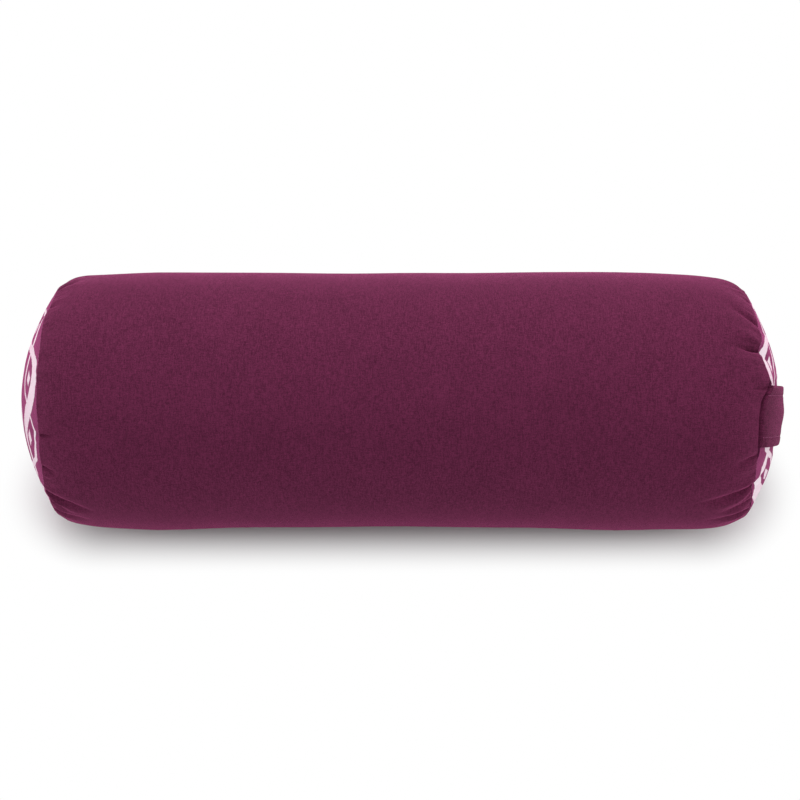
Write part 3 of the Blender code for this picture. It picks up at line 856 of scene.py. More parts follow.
# %% [markdown]
# On the real cover the tube is cut straight, so near the seam there is more cloth than the ring
# has room for, and the filling blows it up between the puckers. Cloth simulation does just that:
# its rest shape is the straight tube, the seam and the middle are held, and a pressure works
# from inside.

# %% Gathering by simulation
CLOTH_SETTINGS = {
    "quality": 6,
    "mass": 0.10,
    "tension_stiffness": 1,
    "compression_stiffness": 1,
    "shear_stiffness": 0.3,
    "bending_stiffness": 0.01,
    "air_damping": 1,
    "use_pressure": True,
    "uniform_pressure_force": 50,
}
print("cloth settings:", CLOTH_SETTINGS)


def gather(obj, rest, held, frames):
    """The points of a piece after its cloth is blown up from inside, from a given rest shape."""
    obj.shape_key_add(name="sewn")
    flat_cloth = obj.shape_key_add(name="cut straight")
    flat_cloth.data.foreach_set("co", rest.ravel())
    group = obj.vertex_groups.new(name="held")
    for index in np.nonzero(held > 0)[0]:
        group.add([int(index)], float(held[index]), "REPLACE")
    cloth = obj.modifiers.new("cloth", "CLOTH")
    for setting, value in CLOTH_SETTINGS.items():
        setattr(cloth.settings, setting, value)
    cloth.settings.effector_weights.gravity = 0
    cloth.settings.rest_shape_key = flat_cloth
    cloth.settings.vertex_group_mass = "held"
    cloth.collision_settings.use_collision = False
    cloth.point_cache.frame_start = 1
    cloth.point_cache.frame_end = frames
    for frame_number in range(1, frames + 1):
        bpy.context.scene.frame_set(frame_number)
    blown = points_of(obj.evaluated_get(bpy.context.evaluated_depsgraph_get()))
    obj.modifiers.remove(cloth)
    obj.shape_key_clear()
    obj.vertex_groups.clear()
    bpy.context.scene.frame_set(1)
    return blown


# %% [markdown]
# Only the wrinkles of the result are kept: what a whole row of points grows by is taken off
# again, and there is a cap on how far a point may go, because a free run closes the deep
# puckers. The new places are the shape of the shoulders from here on.

# %% Cover tube, gathered
HELD_MIDDLE, HELD_FADE = 0.205, 0.01
PROFILE_TURN = 330.0  # degrees, where the cloth's length over the shoulders is measured
GATHER_FRAMES = 20
FARTHEST_MOVE = 0.0010

profile_x = np.sort(row_places)
profile_radius = tube_shape(profile_x.copy(), np.full(len(profile_x), PROFILE_TURN))[1]
run = run_along(np.stack([profile_x, profile_radius], axis=1))
straight_x = np.interp(flat_x, profile_x, run - run[-1] / 2)
rest = at_turn(straight_x, np.full_like(flat_x, TUBE_RADIUS), flat_turn)
held = np.clip((HELD_MIDDLE + HELD_FADE - np.abs(flat_x)) / HELD_FADE, 0, 1)
held[np.abs(flat_x) > SEAM_X - 1e-6] = 1
blown = gather(cover, rest, held, GATHER_FRAMES)
blown_turn, blown_radius = turn_and_radius(blown)
grown = blown_radius - turn_and_radius(shaped)[1]
for place in np.unique(flat_x):
    blown_radius[flat_x == place] -= grown[flat_x == place].mean()
move = at_turn(blown[:, 0], blown_radius, blown_turn) - shaped
size = np.linalg.norm(move, axis=1)
print(f"moved, mm: mean {1000 * size[held < 1].mean():.2f}, most {1000 * size.max():.2f}")
move *= (np.minimum(size, FARTHEST_MOVE) / np.maximum(size, 1e-9))[:, None]
move_points(cover, pressed(shaped + move))

# %% [markdown]
# The zip needs a long slot in the back. The faces between the two slot columns go, up to the
# rows on which the slot ends.

# %% Cover tube, slot
def face_means(obj, values):
    return np.array([values[list(face.vertices)].mean() for face in obj.data.polygons])


beside_zip = face_means(cover, np.abs(column_turn)) < slot_edge
in_length = face_means(cover, np.abs(flat_x)) < SLOT_END
pick(cover, "FACE", beside_zip & in_length)
bpy.ops.mesh.delete(type="FACE")
bpy.ops.object.mode_set(mode="OBJECT")
print("slot faces removed:", int((beside_zip & in_length).sum()))

# %% [markdown]
# The edge of the tube at each end is drawn inside along the seam, where the seam allowance lies
# on a real cover. A Solidify modifier then gives the cloth its thickness, inwards, so that the
# outside keeps its size. The strap end of the bolster has settled a little towards the front,
# and the pieces made here lean with it. The tapes end where that has hardly begun, and don't.

# %% Cover tube, edges and thickness
EDGE_STEPS = 3
LEAN = 0.0025
LEAN_FROM = 0.208


def turn_in_edge(obj, end, edge_at):
    """Extrudes the ring on the seam of one end inwards along it, in a few steps. edge_at gives
    the ring's (x, radius) at a turn."""
    points = points_of(obj)
    turn, radius = turn_and_radius(points)
    x, edge_radius = edge_at(end, turn)
    on_ring = np.abs(end * points[:, 0] - x) + np.abs(radius - edge_radius) < 0.0002
    pick(obj, "EDGE", on_ring[edge_ends(obj)].all(axis=1))
    for step in range(1, EDGE_STEPS + 1):
        bpy.ops.mesh.extrude_edges_move(TRANSFORM_OT_translate={"value": (0, 0, 0)})
        bpy.ops.object.mode_set(mode="OBJECT")
        chosen = np.array([point.select for point in obj.data.vertices])
        points = points_of(obj)
        turn, _ = turn_and_radius(points[chosen])
        x, radius = edge_at(end, turn)
        way = TURNED_IN * step / EDGE_STEPS
        points[chosen] = at_turn(end * (x + SEAM_IN.x * way), radius + SEAM_IN.y * way, turn)
        move_points(obj, points)
        bpy.ops.object.mode_set(mode="EDIT")
    bpy.ops.object.mode_set(mode="OBJECT")
    print(obj.name, "points turned in at the seam:", int(on_ring.sum()))


def add_wall(obj, thickness):
    wall = obj.modifiers.new("cloth", "SOLIDIFY")
    wall.thickness = thickness
    wall.offset = -1.0
    apply_modifiers(obj)


def lean_end(obj):
    points = points_of(obj)
    share = np.clip((points[:, 0] - LEAN_FROM) / (SEAM_X - LEAN_FROM), 0, 1)
    points[:, 1] -= LEAN * eased(share)
    move_points(obj, points)


def finish_piece(obj, material, angle=60):
    """Smooths the faces of a piece that are less than an angle apart, and gives it its finish."""
    take_alone(obj)
    bpy.ops.object.shade_smooth_by_angle(angle=math.radians(angle))
    obj.data.materials.append(material)
    print(obj.name, triangles(obj), "triangles, mm:", np.round(np.ptp(points_of(obj), axis=0) * 1000, 1))


for end in (1, -1):
    turn_in_edge(cover, end, seam_at)
add_wall(cover, CLOTH)
lean_end(cover)
finish_piece(cover, plum_cotton)

# %% [markdown]
# Each end panel is a round of cloth with a crown, pushed out by the filling. Its rim follows
# the same wandering seam as the tube, with softer dents where the tube has its puckers. On the
# right end it also makes room for the strap: at the rim, where the strap is caught between the
# two cloths, and under its length, which presses the panel in.

# %% End panels, shape
SEAM_FADE = 0.015  # how far in from the rim the seam's shape is felt
CAUGHT_MIDDLE, CAUGHT_HALF, CAUGHT_FADE = 8.2, 17.5, 2.5  # degrees, from the strap's own turn
CAUGHT_ROOM = 0.0009
UNDER_HALF, UNDER_FADE = 0.034, 0.007  # from the strap's middle line
STRAP_PRESS = 0.0010
DENT_SHARE, DENT_FADE = 0.30, 0.016  # of a pucker's depth, and how far in a dent is felt
# turn (degrees), distance from the middle (m), height (mm), reach (mm): where it is blown out most
PANEL_SWELLS = {1: [(190, 0.074, 2.6, 26)], -1: [(20, 0.060, 1.2, 30)]}


def strap_window(turn):
    """1 where the strap is caught in the seam of the +X end, fading to 0 beside it."""
    first, second = math.degrees(STRAP_TURN), math.degrees(STRAP_TURN) + 180
    share = np.zeros_like(turn)
    for away in (degrees_apart(turn, first), degrees_apart(second, turn)):
        inside = (CAUGHT_HALF + CAUGHT_FADE - np.abs(away - CAUGHT_MIDDLE)) / CAUGHT_FADE
        share = np.maximum(share, np.clip(inside, 0, 1))
    return eased(share)


def under_strap(flat_radius, turn):
    """1 where the strap lies over the +X panel, fading to 0 beside it."""
    across = flat_radius * np.sin(np.radians(turn) - STRAP_TURN)
    return eased(np.clip((UNDER_HALF - np.abs(across - STRAP_OFFSET)) / UNDER_FADE, 0, 1))


def panel_edge(end, turn):
    """(x, radius) of a panel's edge: the seam, moved across by the layers sewn in there."""
    gap = LAYER_GAP
    if end > 0:
        gap = LAYER_GAP + strap_window(turn) * (STRAP_THICKNESS + CAUGHT_ROOM)
    x, radius = seam_at(end, turn)
    return x + SEAM_ACROSS.x * gap, radius + SEAM_ACROSS.y * gap


def crown_height(radius):
    return CROWN_X - CROWN * (radius / SEAM_RADIUS) ** 2


def panel_shape(end, flat_radius, turn):
    inward = SEAM_RADIUS - flat_radius
    edge_x, edge_radius = panel_edge(end, turn)
    near = np.exp(-inward / SEAM_FADE)
    x = crown_height(flat_radius) + (edge_x - SEAM_X) * near
    radius = flat_radius + (edge_radius - SEAM_RADIUS) * near
    for middle, place, height, reach in PANEL_SWELLS[end]:
        angle = np.radians(turn - middle)
        apart = np.hypot(flat_radius * np.cos(angle) - place, flat_radius * np.sin(angle))
        x = x + height / 1000 * np.exp(-((apart * 1000 / reach) ** 2))
    if end > 0:
        x = x - STRAP_PRESS * under_strap(flat_radius, turn) * (1 - near)
    dent = DENT_SHARE * pucker_depth(end, turn, inward, 0.0) * np.exp(-((inward / DENT_FADE) ** 2))
    return end * (x - dent * DOME_NORMAL.x), radius - dent * DOME_NORMAL.y


right_crown = panel_shape(1, np.array([0.0]), np.array([0.0]))[0][0]
print("the right crown stands at x =", round(float(right_crown), 4))

# %% [markdown]
# The panel starts as a circle on the seam. It is extruded inwards ring by ring, with the rings
# closest at the rim, and closed in the middle. Its map is laid while it is flat, and then it is
# shaped and turned in as the tube was.

# %% End panels, cloth
PANEL_RINGS = 26
RING_CROWDING, LAST_RING = 1.25, 0.6


def flat_round(name, end):
    """A flat disc of rings that faces out of one end."""
    middle = (end * SEAM_X, 0, AXIS_HEIGHT)
    bpy.ops.object.select_all(action="DESELECT")
    bpy.ops.mesh.primitive_circle_add(
        vertices=TUBE_COLUMNS, radius=SEAM_RADIUS, location=middle, rotation=(0, math.pi / 2, 0)
    )
    panel = take_new(name)
    bpy.ops.object.mode_set(mode="EDIT")
    bpy.ops.mesh.select_all(action="SELECT")
    shares = np.arange(PANEL_RINGS + 1) / (PANEL_RINGS + LAST_RING)
    radii = SEAM_RADIUS * (1 - shares**RING_CROWDING)
    for share in radii[1:] / radii[:-1]:
        bpy.ops.mesh.extrude_edges_move(TRANSFORM_OT_translate={"value": (0, 0, 0)})
        bpy.ops.transform.resize(value=(1, share, share), center_override=middle)
    bpy.ops.mesh.extrude_edges_move(TRANSFORM_OT_translate={"value": (0, 0, 0)})
    bpy.ops.mesh.merge(type="CENTER")
    bpy.ops.mesh.select_all(action="SELECT")
    bpy.ops.mesh.normals_make_consistent(inside=False)
    bpy.ops.object.mode_set(mode="OBJECT")
    if sum(face.normal.x for face in panel.data.polygons) * end < 0:
        panel.data.flip_normals()
    return panel


def make_panel(name, end, material):
    panel = flat_round(name, end)
    turn, flat_radius = turn_and_radius(points_of(panel))
    angle = np.radians(turn)
    write_cloth_map(panel, flat_radius * np.cos(angle), flat_radius * np.sin(angle))
    x, radius = panel_shape(end, flat_radius, turn)
    move_points(panel, at_turn(x, radius, turn))
    turn_in_edge(panel, end, panel_edge)
    add_wall(panel, CLOTH)
    lean_end(panel)
    finish_piece(panel, material)
    return panel


panel_right = make_panel("end_cloth_right", 1, right_print)
panel_left = make_panel("end_cloth_left", -1, left_print)

# %% [markdown]
# The carry strap is a strip of the same cotton, folded lengthwise and topstitched near both
# edges. Its two tails are caught in the ring seam, and from there it bends round the panel's
# rim. The bend is drawn first, as (x, radius) points.

# %% Carry strap, bend
STRAP_TAIL = 0.007
STRAP_FIT = 0.0006
BEND_STEPS = 6


def strap_bend():
    """(x, radius) points from the strap's tail out round the panel's edge."""
    grip = STRAP_THICKNESS / 2 + STRAP_FIT
    seam = Vector((SEAM_X, SEAM_RADIUS))
    corner = seam + SEAM_ACROSS * 2 * grip
    tail = (STRAP_TAIL, STRAP_TAIL / 2, 0)
    points = [seam + SEAM_IN * depth + SEAM_ACROSS * grip for depth in tail]
    first = math.atan2(-SEAM_ACROSS.y, -SEAM_ACROSS.x)
    last = math.atan2(DOME_NORMAL.y, DOME_NORMAL.x)
    for step in range(1, BEND_STEPS + 1):
        turn = first + (last - first) * step / BEND_STEPS
        points.append(corner + grip * Vector((math.cos(turn), math.sin(turn))))
    return points


bend = strap_bend()
reach = bend[-1].y
lift = bend[-1].x - crown_height(reach)
print(f"the bend ends {1000 * reach:.1f} mm from the axis, {1000 * lift:.2f} mm over the crown")

# %% [markdown]
# Between the bends the strap follows the crown of the panel a little way off, with most of its
# slack in the lower half, so that a hand fits behind it. A row of points across it is given by
# x, how far it is along the strap's run over the end, and how far across. The columns lie
# closest at the edges and at the stitch lines, 8 mm in.

# %% Carry strap, its run
STRAP_SLACK = 0.011
STRAP_SETTLED = 0.0012  # how much closer to the panel it lies than it was sewn
SETTLED_SHARE = 0.16  # of its length, over which that comes in
RIPPLE_HEIGHT, RIPPLE_LENGTH, RIPPLE_PHASE = 0.0005, 0.024, 2.2
STRAP_STITCH = 0.008  # from the strap's edge to its topstitching
STRAP_ROWS = 150
EDGE_COLUMNS = [0, 0.25, 0.6, 1.1, 1.8, 3, 4.5, 6, 6.8, 7.3, 7.7, 8, 8.3, 8.7, 9.2, 10, 12]  # mm
MIDDLE_COLUMNS = [14.5, 17, 19.5, 22]

from_edge = np.array(EDGE_COLUMNS + MIDDLE_COLUMNS) / 1000
across = np.concatenate([from_edge, [STRAP_WIDTH / 2], STRAP_WIDTH - from_edge[::-1]])
across = across - STRAP_WIDTH / 2 + STRAP_OFFSET
crossings = len(across) - 1
span_rows = STRAP_ROWS - 2 * (len(bend) - 1)


def strap_row(number):
    """(x, along the run, across it) of the points of one row."""
    from_tail = min(number, STRAP_ROWS - number)
    side = 1 if number < STRAP_ROWS / 2 else -1
    if from_tail < len(bend):
        x = np.full_like(across, bend[from_tail].x)
        run = side * np.sqrt(bend[from_tail].y ** 2 - across**2)
        away = np.zeros_like(across)
    else:
        share = (number - len(bend) + 1) / span_rows
        run = reach * (1 - 2 * share) * np.sqrt(1 - (across / reach) ** 2)
        slack = STRAP_SLACK * math.sin(math.pi * share**2) ** 2
        settled = STRAP_SETTLED * np.clip(min(share, 1 - share) / SETTLED_SHARE, 0, 1)
        wave = np.sin(2 * np.pi * (across - STRAP_OFFSET) / RIPPLE_LENGTH + RIPPLE_PHASE)
        ripple = RIPPLE_HEIGHT * wave * np.sin(math.pi * share)
        x = crown_height(np.hypot(run, across)) + lift + slack - settled + ripple
        away = reach - np.abs(run)
    turn = math.degrees(STRAP_TURN) + np.degrees(np.arctan2(across, run))
    near = np.exp(-np.maximum(away, 0) / SEAM_FADE)
    seam_x, seam_radius = seam_at(1, turn)
    x = x + (seam_x - SEAM_X) * near
    run = run * (1 - (SEAM_RADIUS - seam_radius) * near**2 / reach)
    return np.stack([x, run, across], axis=1)


strap_lines = np.array([strap_row(number) for number in range(STRAP_ROWS + 1)])
strap_run = run_along(strap_lines[:, crossings // 2])

# %% [markdown]
# A flat grid has one point for each place in those rows, so it is laid along them, and its map
# is the flat strip.

# %% Carry strap, cloth
def over_end(places, height=AXIS_HEIGHT):
    """Points on the bolster from (x, along the strap's run, across it). With a height of 0 it
    turns directions instead of points."""
    cos_turn, sin_turn = math.cos(STRAP_TURN), math.sin(STRAP_TURN)
    x, run, side = places.T
    y = run * cos_turn - side * sin_turn
    z = height + run * sin_turn + side * cos_turn
    return np.stack([x, y, z], axis=1)


bpy.ops.object.select_all(action="DESELECT")
bpy.ops.mesh.primitive_grid_add(x_subdivisions=STRAP_ROWS, y_subdivisions=crossings, size=2)
strap = take_new("carry_strap")
grid = (points_of(strap) + 1) / 2
place_along = np.rint(grid[:, 0] * STRAP_ROWS).astype(int)
place_across = np.rint(grid[:, 1] * crossings).astype(int)
write_cloth_map(strap, across[place_across], strap_run[place_along])
move_points(strap, over_end(strap_lines[place_along, place_across]))
if sum(face.normal.x for face in strap.data.polygons) < 0:
    strap.data.flip_normals()
print("strap faces", len(strap.data.polygons))

# %% [markdown]
# The thickness is full between the stitch lines and thin on them, where the thread pulls the
# folded layers together, and it rounds off at the edges. Weights on the points say so to the
# Solidify modifier.

# %% Carry strap, thickness
GROOVE_DEPTH, GROOVE_WIDTH = 0.38, 0.0011
ROUNDED_EDGE = 0.0016

edge_away = STRAP_WIDTH / 2 - np.abs(across[place_across] - STRAP_OFFSET)
stitch_groove = np.exp(-(((edge_away - STRAP_STITCH) / GROOVE_WIDTH) ** 2))
rounded = np.sqrt(np.clip(1 - np.clip(1 - edge_away / ROUNDED_EDGE, 0, 1) ** 2, 0.04, 1))
group = strap.vertex_groups.new(name="fullness")
for index, fullness in enumerate(rounded * (1 - GROOVE_DEPTH * stitch_groove)):
    group.add([index], float(fullness), "REPLACE")
wall = strap.modifiers.new("folded cloth", "SOLIDIFY")
wall.thickness = STRAP_THICKNESS
wall.offset = 0
wall.vertex_group = "fullness"
apply_modifiers(strap)
lean_end(strap)
finish_piece(strap, strap_shaded_cotton, 70)

# %% [markdown]
# The zip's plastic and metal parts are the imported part's own solids, and get finishes here: a
# satin moulded plastic for the teeth and a dyed enamel for the slider, its pull and the stops,
# thinner and brighter where use has rubbed it.

# %% Zip finishes
TEETH = ["zip_teeth_upper", "zip_teeth_lower"]
ENAMELLED = ["zip_top_stop_upper", "zip_top_stop_lower", "zip_bottom_stop", "zip_slider", "zip_pull"]


def zip_finish(name, dye, bare, rub, nodes):
    """A dyed finish that shows what is under it on its edges, and the nodes that get it."""
    material, tree, shader = new_material(name)
    cloud = clouds(object_place(tree), 420.0)
    edge = flow(tree, "NewGeometry", output="Pointiness")
    worn = edge.between(0.52, 0.60) * cloud.between(0.40, 0.62) * rub
    inputs = {
        "Base Color": mixed(worn, dye, bare),
        "Roughness": cloud.between(0.3, 0.7, 0.34, 0.52),
        "Specular IOR Level": 0.3,
        "Normal": bumps(cloud, 0.08, 0.00003),
    }
    fill(tree, shader, inputs)
    for node in nodes:
        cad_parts[node].data.materials.clear()
        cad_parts[node].data.materials.append(material)
    print(name, "on", len(nodes), "nodes")


zip_finish("zip_plastic", (0.135, 0.022, 0.066, 1), (0.22, 0.06, 0.13, 1), 0.5, TEETH)
zip_finish("zip_enamel", (0.112, 0.016, 0.053, 1), (0.34, 0.14, 0.22, 1), 0.14, ENAMELLED)

# %% [markdown]
# A zip's tape is a narrow, tightly woven band with fine ribs along it. It is a thin slab with
# rounded long edges, and the ribs are in its finish, at half a millimetre each.

# %% Zip tapes
TAPE_WIDTH, TAPE_THICKNESS, TAPE_LENGTH = 0.011, 0.0006, 0.436
TAPE_RIB, TAPE_PICK = 0.0005, 0.0007
TAPE_DARK = (0.085, 0.014, 0.043, 1)
TAPE_LIGHT = (0.13, 0.024, 0.068, 1)
TAPE_CUTS = 60
TAPE_INSET, TAPE_EDGE = 0.0001, 0.00015
TAPE_SUNK, TAPE_SINKING = 0.0003, 0.008  # its ends lie deeper, where the tube starts to draw in
ZIP_OUT = np.array([0, math.cos(ZIP_TURN), math.sin(ZIP_TURN)])
ZIP_DOWN = np.array([0, math.sin(ZIP_TURN), -math.cos(ZIP_TURN)])

tape_weave, tree, shader = new_material("woven_tape")
place = cloth_place(tree)
rib_side, pick_side, _ = parts_of(place)
height = ridges(rib_side, TAPE_RIB) * (ridges(pick_side, TAPE_PICK) * 0.4 + 0.6)
tone = clouds(place, 800.0, detail=3.0).between(0.35, 0.65)
cotton_finish(tree, shader, mixed(tone, TAPE_DARK, TAPE_LIGHT), height)


def make_tape(node):
    low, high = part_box(node)
    middle = (low + high) / 2
    bpy.ops.object.select_all(action="DESELECT")
    bpy.ops.mesh.primitive_cube_add(size=1, location=middle, rotation=(ZIP_TURN - math.pi / 2, 0, 0))
    full = Vector((high.x - low.x, TAPE_WIDTH, TAPE_THICKNESS))
    bpy.context.active_object.scale = full - Vector((1, 1, 1)) * 2 * TAPE_INSET
    tape = take_new(f"{node}_woven")
    cut_along(tape, TAPE_LENGTH / 2, TAPE_CUTS)
    soften = tape.modifiers.new("rounded", "BEVEL")
    soften.width = TAPE_EDGE
    soften.segments = 2
    soften.limit_method = "ANGLE"
    apply_modifiers(tape)
    points = points_of(tape)
    past_slot = np.clip((np.abs(points[:, 0]) - SLOT_END) / TAPE_SINKING, 0, 1)
    points -= np.outer(past_slot, ZIP_OUT) * TAPE_SUNK
    move_points(tape, points)
    write_cloth_map(tape, (points - np.array(middle)) @ ZIP_DOWN, points[:, 0])
    finish_piece(tape, tape_weave, 50)
    return tape


tapes = {node: make_tape(node) for node in ("zip_tape_upper", "zip_tape_lower")}

# %% [markdown]
# The topstitching is modelled, because each stitch is a raised bead of thread that catches the
# light. One stitch is a short bar with rounded, sunken ends.

# %% One stitch
STITCH_LENGTH = 0.0027
STITCH_PITCH = 0.0034
STITCH_SUNK = 0.00016
THREAD_RADIUS = 0.00026

thread, tree, shader = new_material("sewing_thread")
place = object_place(tree)
tone = clouds(place, 300.0).between(0.35, 0.65)
twist_inputs = {"Vector": place, "Scale": 900.0, "Distortion": 1.0}
twist = flow(tree, "TexWave", twist_inputs, "Fac", bands_direction="DIAGONAL")
colour = mixed(tone, (0.24, 0.05, 0.13, 1), (0.36, 0.10, 0.22, 1))
cotton_finish(tree, shader, colour, twist, {"Roughness": 0.7})

bpy.ops.object.select_all(action="DESELECT")
bpy.ops.mesh.primitive_cylinder_add(
    vertices=6, radius=THREAD_RADIUS, depth=STITCH_LENGTH, rotation=(0, math.pi / 2, 0)
)
stitch = take_new("stitch")
cut_along(stitch, STITCH_LENGTH / 2, 3)
stitch_points = points_of(stitch)
end_share = np.abs(stitch_points[:, 0]) / (STITCH_LENGTH / 2)
stitch_points[:, 1:] *= np.sqrt(np.clip(1 - 0.75 * end_share**4, 0, 1))[:, None]
stitch_points[:, 2] -= STITCH_SUNK * end_share**2
stitch_faces = [tuple(face.vertices) for face in stitch.data.polygons]
bpy.data.objects.remove(stitch)
print("one stitch", len(stitch_points), "points")

# %% [markdown]
# A row of stitches is many copies of that one, spread evenly along a line over the cloth. Each
# is turned so that it points along the line and stands on the cloth.

# %% Sewing
def along_line(values, run, place):
    """The values of a line's points, at a distance along it."""
    return np.array([np.interp(place, run, column) for column in values.T])


def sew(name, line, outward):
    """A row of stitches along a line of points, where outward is the cloth's way out at each."""
    run = run_along(line)
    count = max(1, int(run[-1] / STITCH_PITCH))
    points, faces = [], []
    for number in range(count):
        middle = (number + 0.5) * run[-1] / count
        ahead = along_line(line, run, middle + 0.001) - along_line(line, run, middle - 0.001)
        ahead /= np.linalg.norm(ahead)
        up = along_line(outward, run, middle)
        up -= ahead * (up @ ahead)
        up /= np.linalg.norm(up)
        ways = np.stack([ahead, np.cross(up, ahead), up])
        faces += [tuple(len(points) + corner for corner in face) for face in stitch_faces]
        points += list(along_line(line, run, middle) + stitch_points @ ways)
    mesh = bpy.data.meshes.new(name)
    mesh.from_pydata([tuple(point) for point in points], [], faces)
    sewn = bpy.data.objects.new(name, mesh)
    bpy.context.scene.collection.objects.link(sewn)
    lean_end(sewn)
    mesh.materials.append(thread)
    mesh.shade_smooth()
    print(name, count, "stitches")
    return sewn


stitch_rows = []
print("a stitch every", 1000 * STITCH_PITCH, "mm")

# %% [markdown]
# The strap's two rows run in its stitch grooves, on its outer face, and stop short of the seam.

# %% Stitches of the strap
STITCHED_BEND = 4  # how many rows of the bend the stitches go round

half_full = STRAP_THICKNESS / 2 * (1 - GROOVE_DEPTH)
for label, side in (("upper", 1), ("lower", -1)):
    sideways = STRAP_OFFSET + side * (STRAP_WIDTH / 2 - STRAP_STITCH)
    path = strap_lines[:, int(np.argmin(np.abs(across - sideways)))]
    path = path[len(bend) - STITCHED_BEND : len(path) - len(bend) + STITCHED_BEND]
    ahead = np.gradient(path, axis=0)
    outward = np.stack([-ahead[:, 1], ahead[:, 0], np.zeros(len(path))], axis=1)
    outward /= np.linalg.norm(outward, axis=1)[:, None]
    line = over_end(path + outward * half_full)
    stitch_rows.append(sew(f"strap_stitches_{label}", line, over_end(outward, 0.0)))

# %% [markdown]
# Each ring seam is followed once round from the strap, and left out where the strap is caught
# in it. The thread lies just proud of the line where the two cloths meet.

# %% Stitches of the ring seams
SEAM_POINTS = 721
PROUD, TO_PANEL = 0.00005, 0.00015

turns = math.degrees(STRAP_TURN) + np.linspace(0, 360, SEAM_POINTS)
out_x = SEAM_ACROSS.x * TO_PANEL - SEAM_IN.x * PROUD
out_radius = SEAM_ACROSS.y * TO_PANEL - SEAM_IN.y * PROUD
for label, end in (("right", 1), ("left", -1)):
    seam_x, seam_radius = seam_at(end, turns)
    line = at_turn(end * (seam_x + out_x), seam_radius + out_radius, turns)
    out_way = np.full(SEAM_POINTS, -end * SEAM_IN.x), np.full(SEAM_POINTS, -SEAM_IN.y)
    outward = at_turn(*out_way, turns) - (0, 0, AXIS_HEIGHT)
    open_seam = strap_window(turns) < 0.01 if end > 0 else np.ones(SEAM_POINTS, bool)
    stretches = np.split(np.arange(SEAM_POINTS), np.nonzero(np.diff(open_seam))[0] + 1)
    for number, run in enumerate([run for run in stretches if open_seam[run[0]]], start=1):
        stitch_rows.append(sew(f"seam_stitches_{label}_{number}", line[run], outward[run]))

# %% [markdown]
# Two rows run along the zip, one on each side of the slot, and a short one closes it at each
# end.

# %% Stitches of the zip
ZIP_STITCH = 0.0085  # from the middle of the zip
ZIP_SEWN_END = SLOT_END + 0.0035
SHORT_HALF = ZIP_STITCH - 0.002
LONG_POINTS, SHORT_POINTS = 60, 12

zip_face = np.array([0, 0, AXIS_HEIGHT]) + ZIP_PLANE * ZIP_OUT


def sew_zip(label, xs, downs):
    line = zip_face + np.outer(xs, [1, 0, 0]) + np.outer(downs, ZIP_DOWN)
    stitch_rows.append(sew(f"zip_stitches_{label}", line, np.tile(ZIP_OUT, (len(xs), 1))))


long_run = np.linspace(-ZIP_SEWN_END, ZIP_SEWN_END, LONG_POINTS)
short_run = np.linspace(-SHORT_HALF, SHORT_HALF, SHORT_POINTS)
sew_zip("lower", long_run, np.full(LONG_POINTS, ZIP_STITCH))
sew_zip("upper", long_run, np.full(LONG_POINTS, -ZIP_STITCH))
sew_zip("right", np.full(SHORT_POINTS, ZIP_SEWN_END), short_run)
sew_zip("left", np.full(SHORT_POINTS, -ZIP_SEWN_END), short_run)

# %% [markdown]
# Inside the cover lies a plain calico bag of husks. Neither shows while the zip is closed, but
# both are real pieces of the bolster. Each is a turned form like the bolster's own, that stays
# clear of the deepest pucker of the skin outside it.

# %% Turned forms
BAG_COLUMNS = 96
BAG_SHOULDER_X = SHOULDER_X - 0.02
SHOULDER_SHARES = np.linspace(0, 1, 19)  # of the shoulder's length, from the middle out
CROWN_SHARES = np.linspace(0.93, 0.03, 14)  # of the seam's radius, from the rim in
MIDDLE_SUNK = 0.0004


def bag_profile(depth, seam_back):
    """(x, radius) points from one end to the other, depth inside the cover and with its seams
    further back."""
    seam_x, seam_radius = SEAM_X - seam_back, SEAM_RADIUS - seam_back
    full_radius, crown = TUBE_RADIUS - depth, CROWN_X - depth - seam_x
    half = []
    for share in SHOULDER_SHARES:
        drop = (full_radius - seam_radius) * share**SHOULDER_POWER
        half.append((BAG_SHOULDER_X + share * (seam_x - BAG_SHOULDER_X), full_radius - drop))
    for share in CROWN_SHARES:
        half.append((seam_x + crown * (1 - share**2), seam_radius * share))
    middle = [(0.0, full_radius - MIDDLE_SUNK)]
    return np.concatenate([half[::-1], middle, np.array(half) * (-1, 1)])


def turned_body(name, depth, seam_back):
    profile = bag_profile(depth, seam_back)
    last_ring = len(profile) - 1
    body = open_tube(name, BAG_COLUMNS, 1.0, 2.0)
    cut_along(body, 1, last_ring - 1)
    points = points_of(body)
    ring = np.rint((1 - points[:, 0]) / 2 * last_ring).astype(int)
    turn, _ = turn_and_radius(points)
    around = np.radians(turn % 360) * TUBE_RADIUS
    write_cloth_map(body, around, run_along(profile)[ring], wrap=FULL_WRAP)
    x, radius = profile[ring].T
    move_points(body, pressed(at_turn(x, radius, turn), depth))
    for end_ring in (0, last_ring):
        pick(body, "EDGE", (ring[edge_ends(body)] == end_ring).all(axis=1))
        bpy.ops.mesh.edge_face_add()
        bpy.ops.object.mode_set(mode="OBJECT")
    return body


# %% [markdown]
# The bag is unbleached calico, a plain weave with no dye and little fuzz, and is a skin of its
# own thickness.

# %% Inner bag
CALICO_LIGHT = (0.70, 0.65, 0.54, 1)
CALICO_DARK = (0.60, 0.55, 0.44, 1)
CALICO_PITCH, CALICO_THICKNESS = 0.0006, 0.0005
BAG_DEPTH, BAG_SEAM_BACK = 0.0045, 0.013

pale_fuzz = {"Sheen Tint": WHITE, "Sheen Weight": 0.2}
calico = woven_cotton("calico", CALICO_PITCH, CALICO_LIGHT, CALICO_DARK, pale_fuzz)
bag = turned_body("inner_bag", BAG_DEPTH, BAG_SEAM_BACK)
add_wall(bag, CALICO_THICKNESS)
lean_end(bag)
finish_piece(bag, calico)
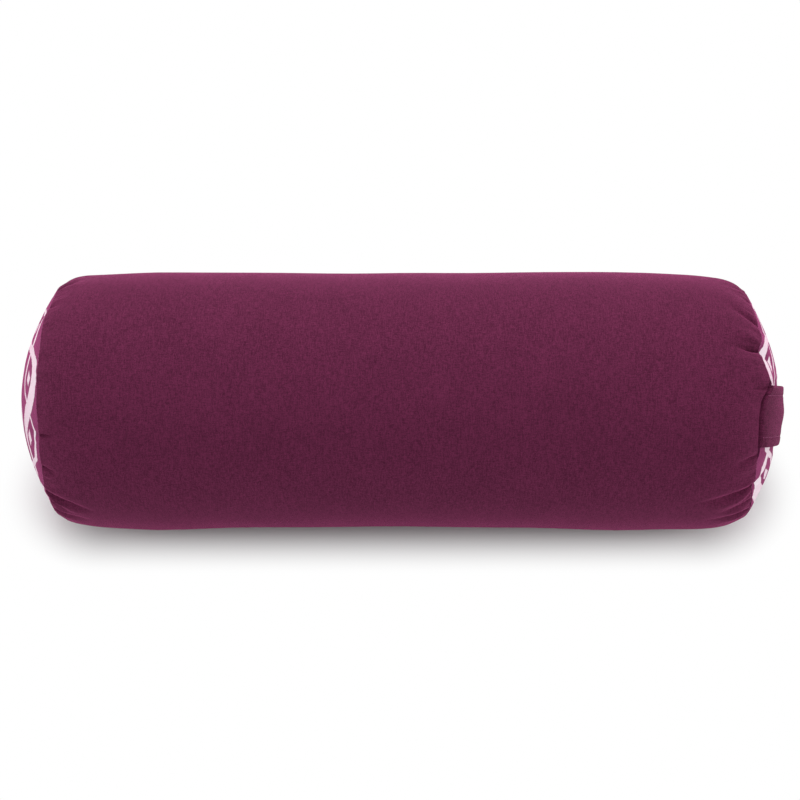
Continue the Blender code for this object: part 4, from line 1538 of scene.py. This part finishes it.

# %% [markdown]
# The husks are loose and brown. They are one grainy form just inside the bag, and a cell pattern
# draws the single husks on it, each darker towards its edge: painted shade in the gaps between them.

# %% Husk filling
HUSK_PALE = (0.52, 0.36, 0.19, 1)
HUSK_GAP_SHADE = (0.16, 0.09, 0.04, 1)
FILLING_DEPTH, FILLING_SEAM_BACK = 0.0062, 0.0165
GRAIN_DEPTH, GRAIN_SCALE = 0.0004, 90

husks, tree, shader = new_material("husks")
cells = flow(tree, "TexVoronoi", {"Vector": object_place(tree), "Scale": 220.0}, "Distance")
# From the husk's own brown in a cell's middle to painted shade at its edge, where the gaps are
colour = mixed(cells.between(0.1, 0.7), HUSK_PALE, HUSK_GAP_SHADE)
rough = bumps(cells, 0.8, 0.001, invert=True)
fill(tree, shader, {"Base Color": colour, "Roughness": 0.85, "Normal": rough})

filling = turned_body("husk_filling", FILLING_DEPTH, FILLING_SEAM_BACK)
points = points_of(filling)
turn, radius = turn_and_radius(points)
grain = np.array([noise.noise(Vector(point) * GRAIN_SCALE) for point in points])
move_points(filling, at_turn(points[:, 0], radius - GRAIN_DEPTH * (1 + grain), turn))
lean_end(filling)
finish_piece(filling, husks)

# %% [markdown]
# Last, each piece is tied to the body that carries it, and the solids that the soft pieces stand
# for are hidden.

# %% What rides on what
stands_for = [
    (cover, ["cover_tube"], "cover_cotton"),
    (panel_right, ["end_panel_right"], "end_print"),
    (panel_left, ["end_panel_left"], "end_print"),
    (strap, ["carry_handle"], "handle_cotton"),
    (bag, ["inner_bag_tube", "inner_bag_end_left", "inner_bag_end_right"], "bag_calico"),
    (filling, ["filling"], "filling"),
    (tapes["zip_tape_upper"], ["zip_tape_upper"], "zip_tape"),
    (tapes["zip_tape_lower"], ["zip_tape_lower"], "zip_tape"),
]
for piece, nodes, slot in stands_for:
    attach(piece, "bolster")
    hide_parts(*nodes)
strap_stitches = [piece for piece in stitch_rows if piece.name.startswith("strap")]
for piece in stitch_rows:
    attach(piece, "bolster")
    "handle_cotton" if piece in strap_stitches else "cover_cotton"
print(len(stands_for), "soft pieces and", len(stitch_rows), "rows of stitches ride on the bolster")
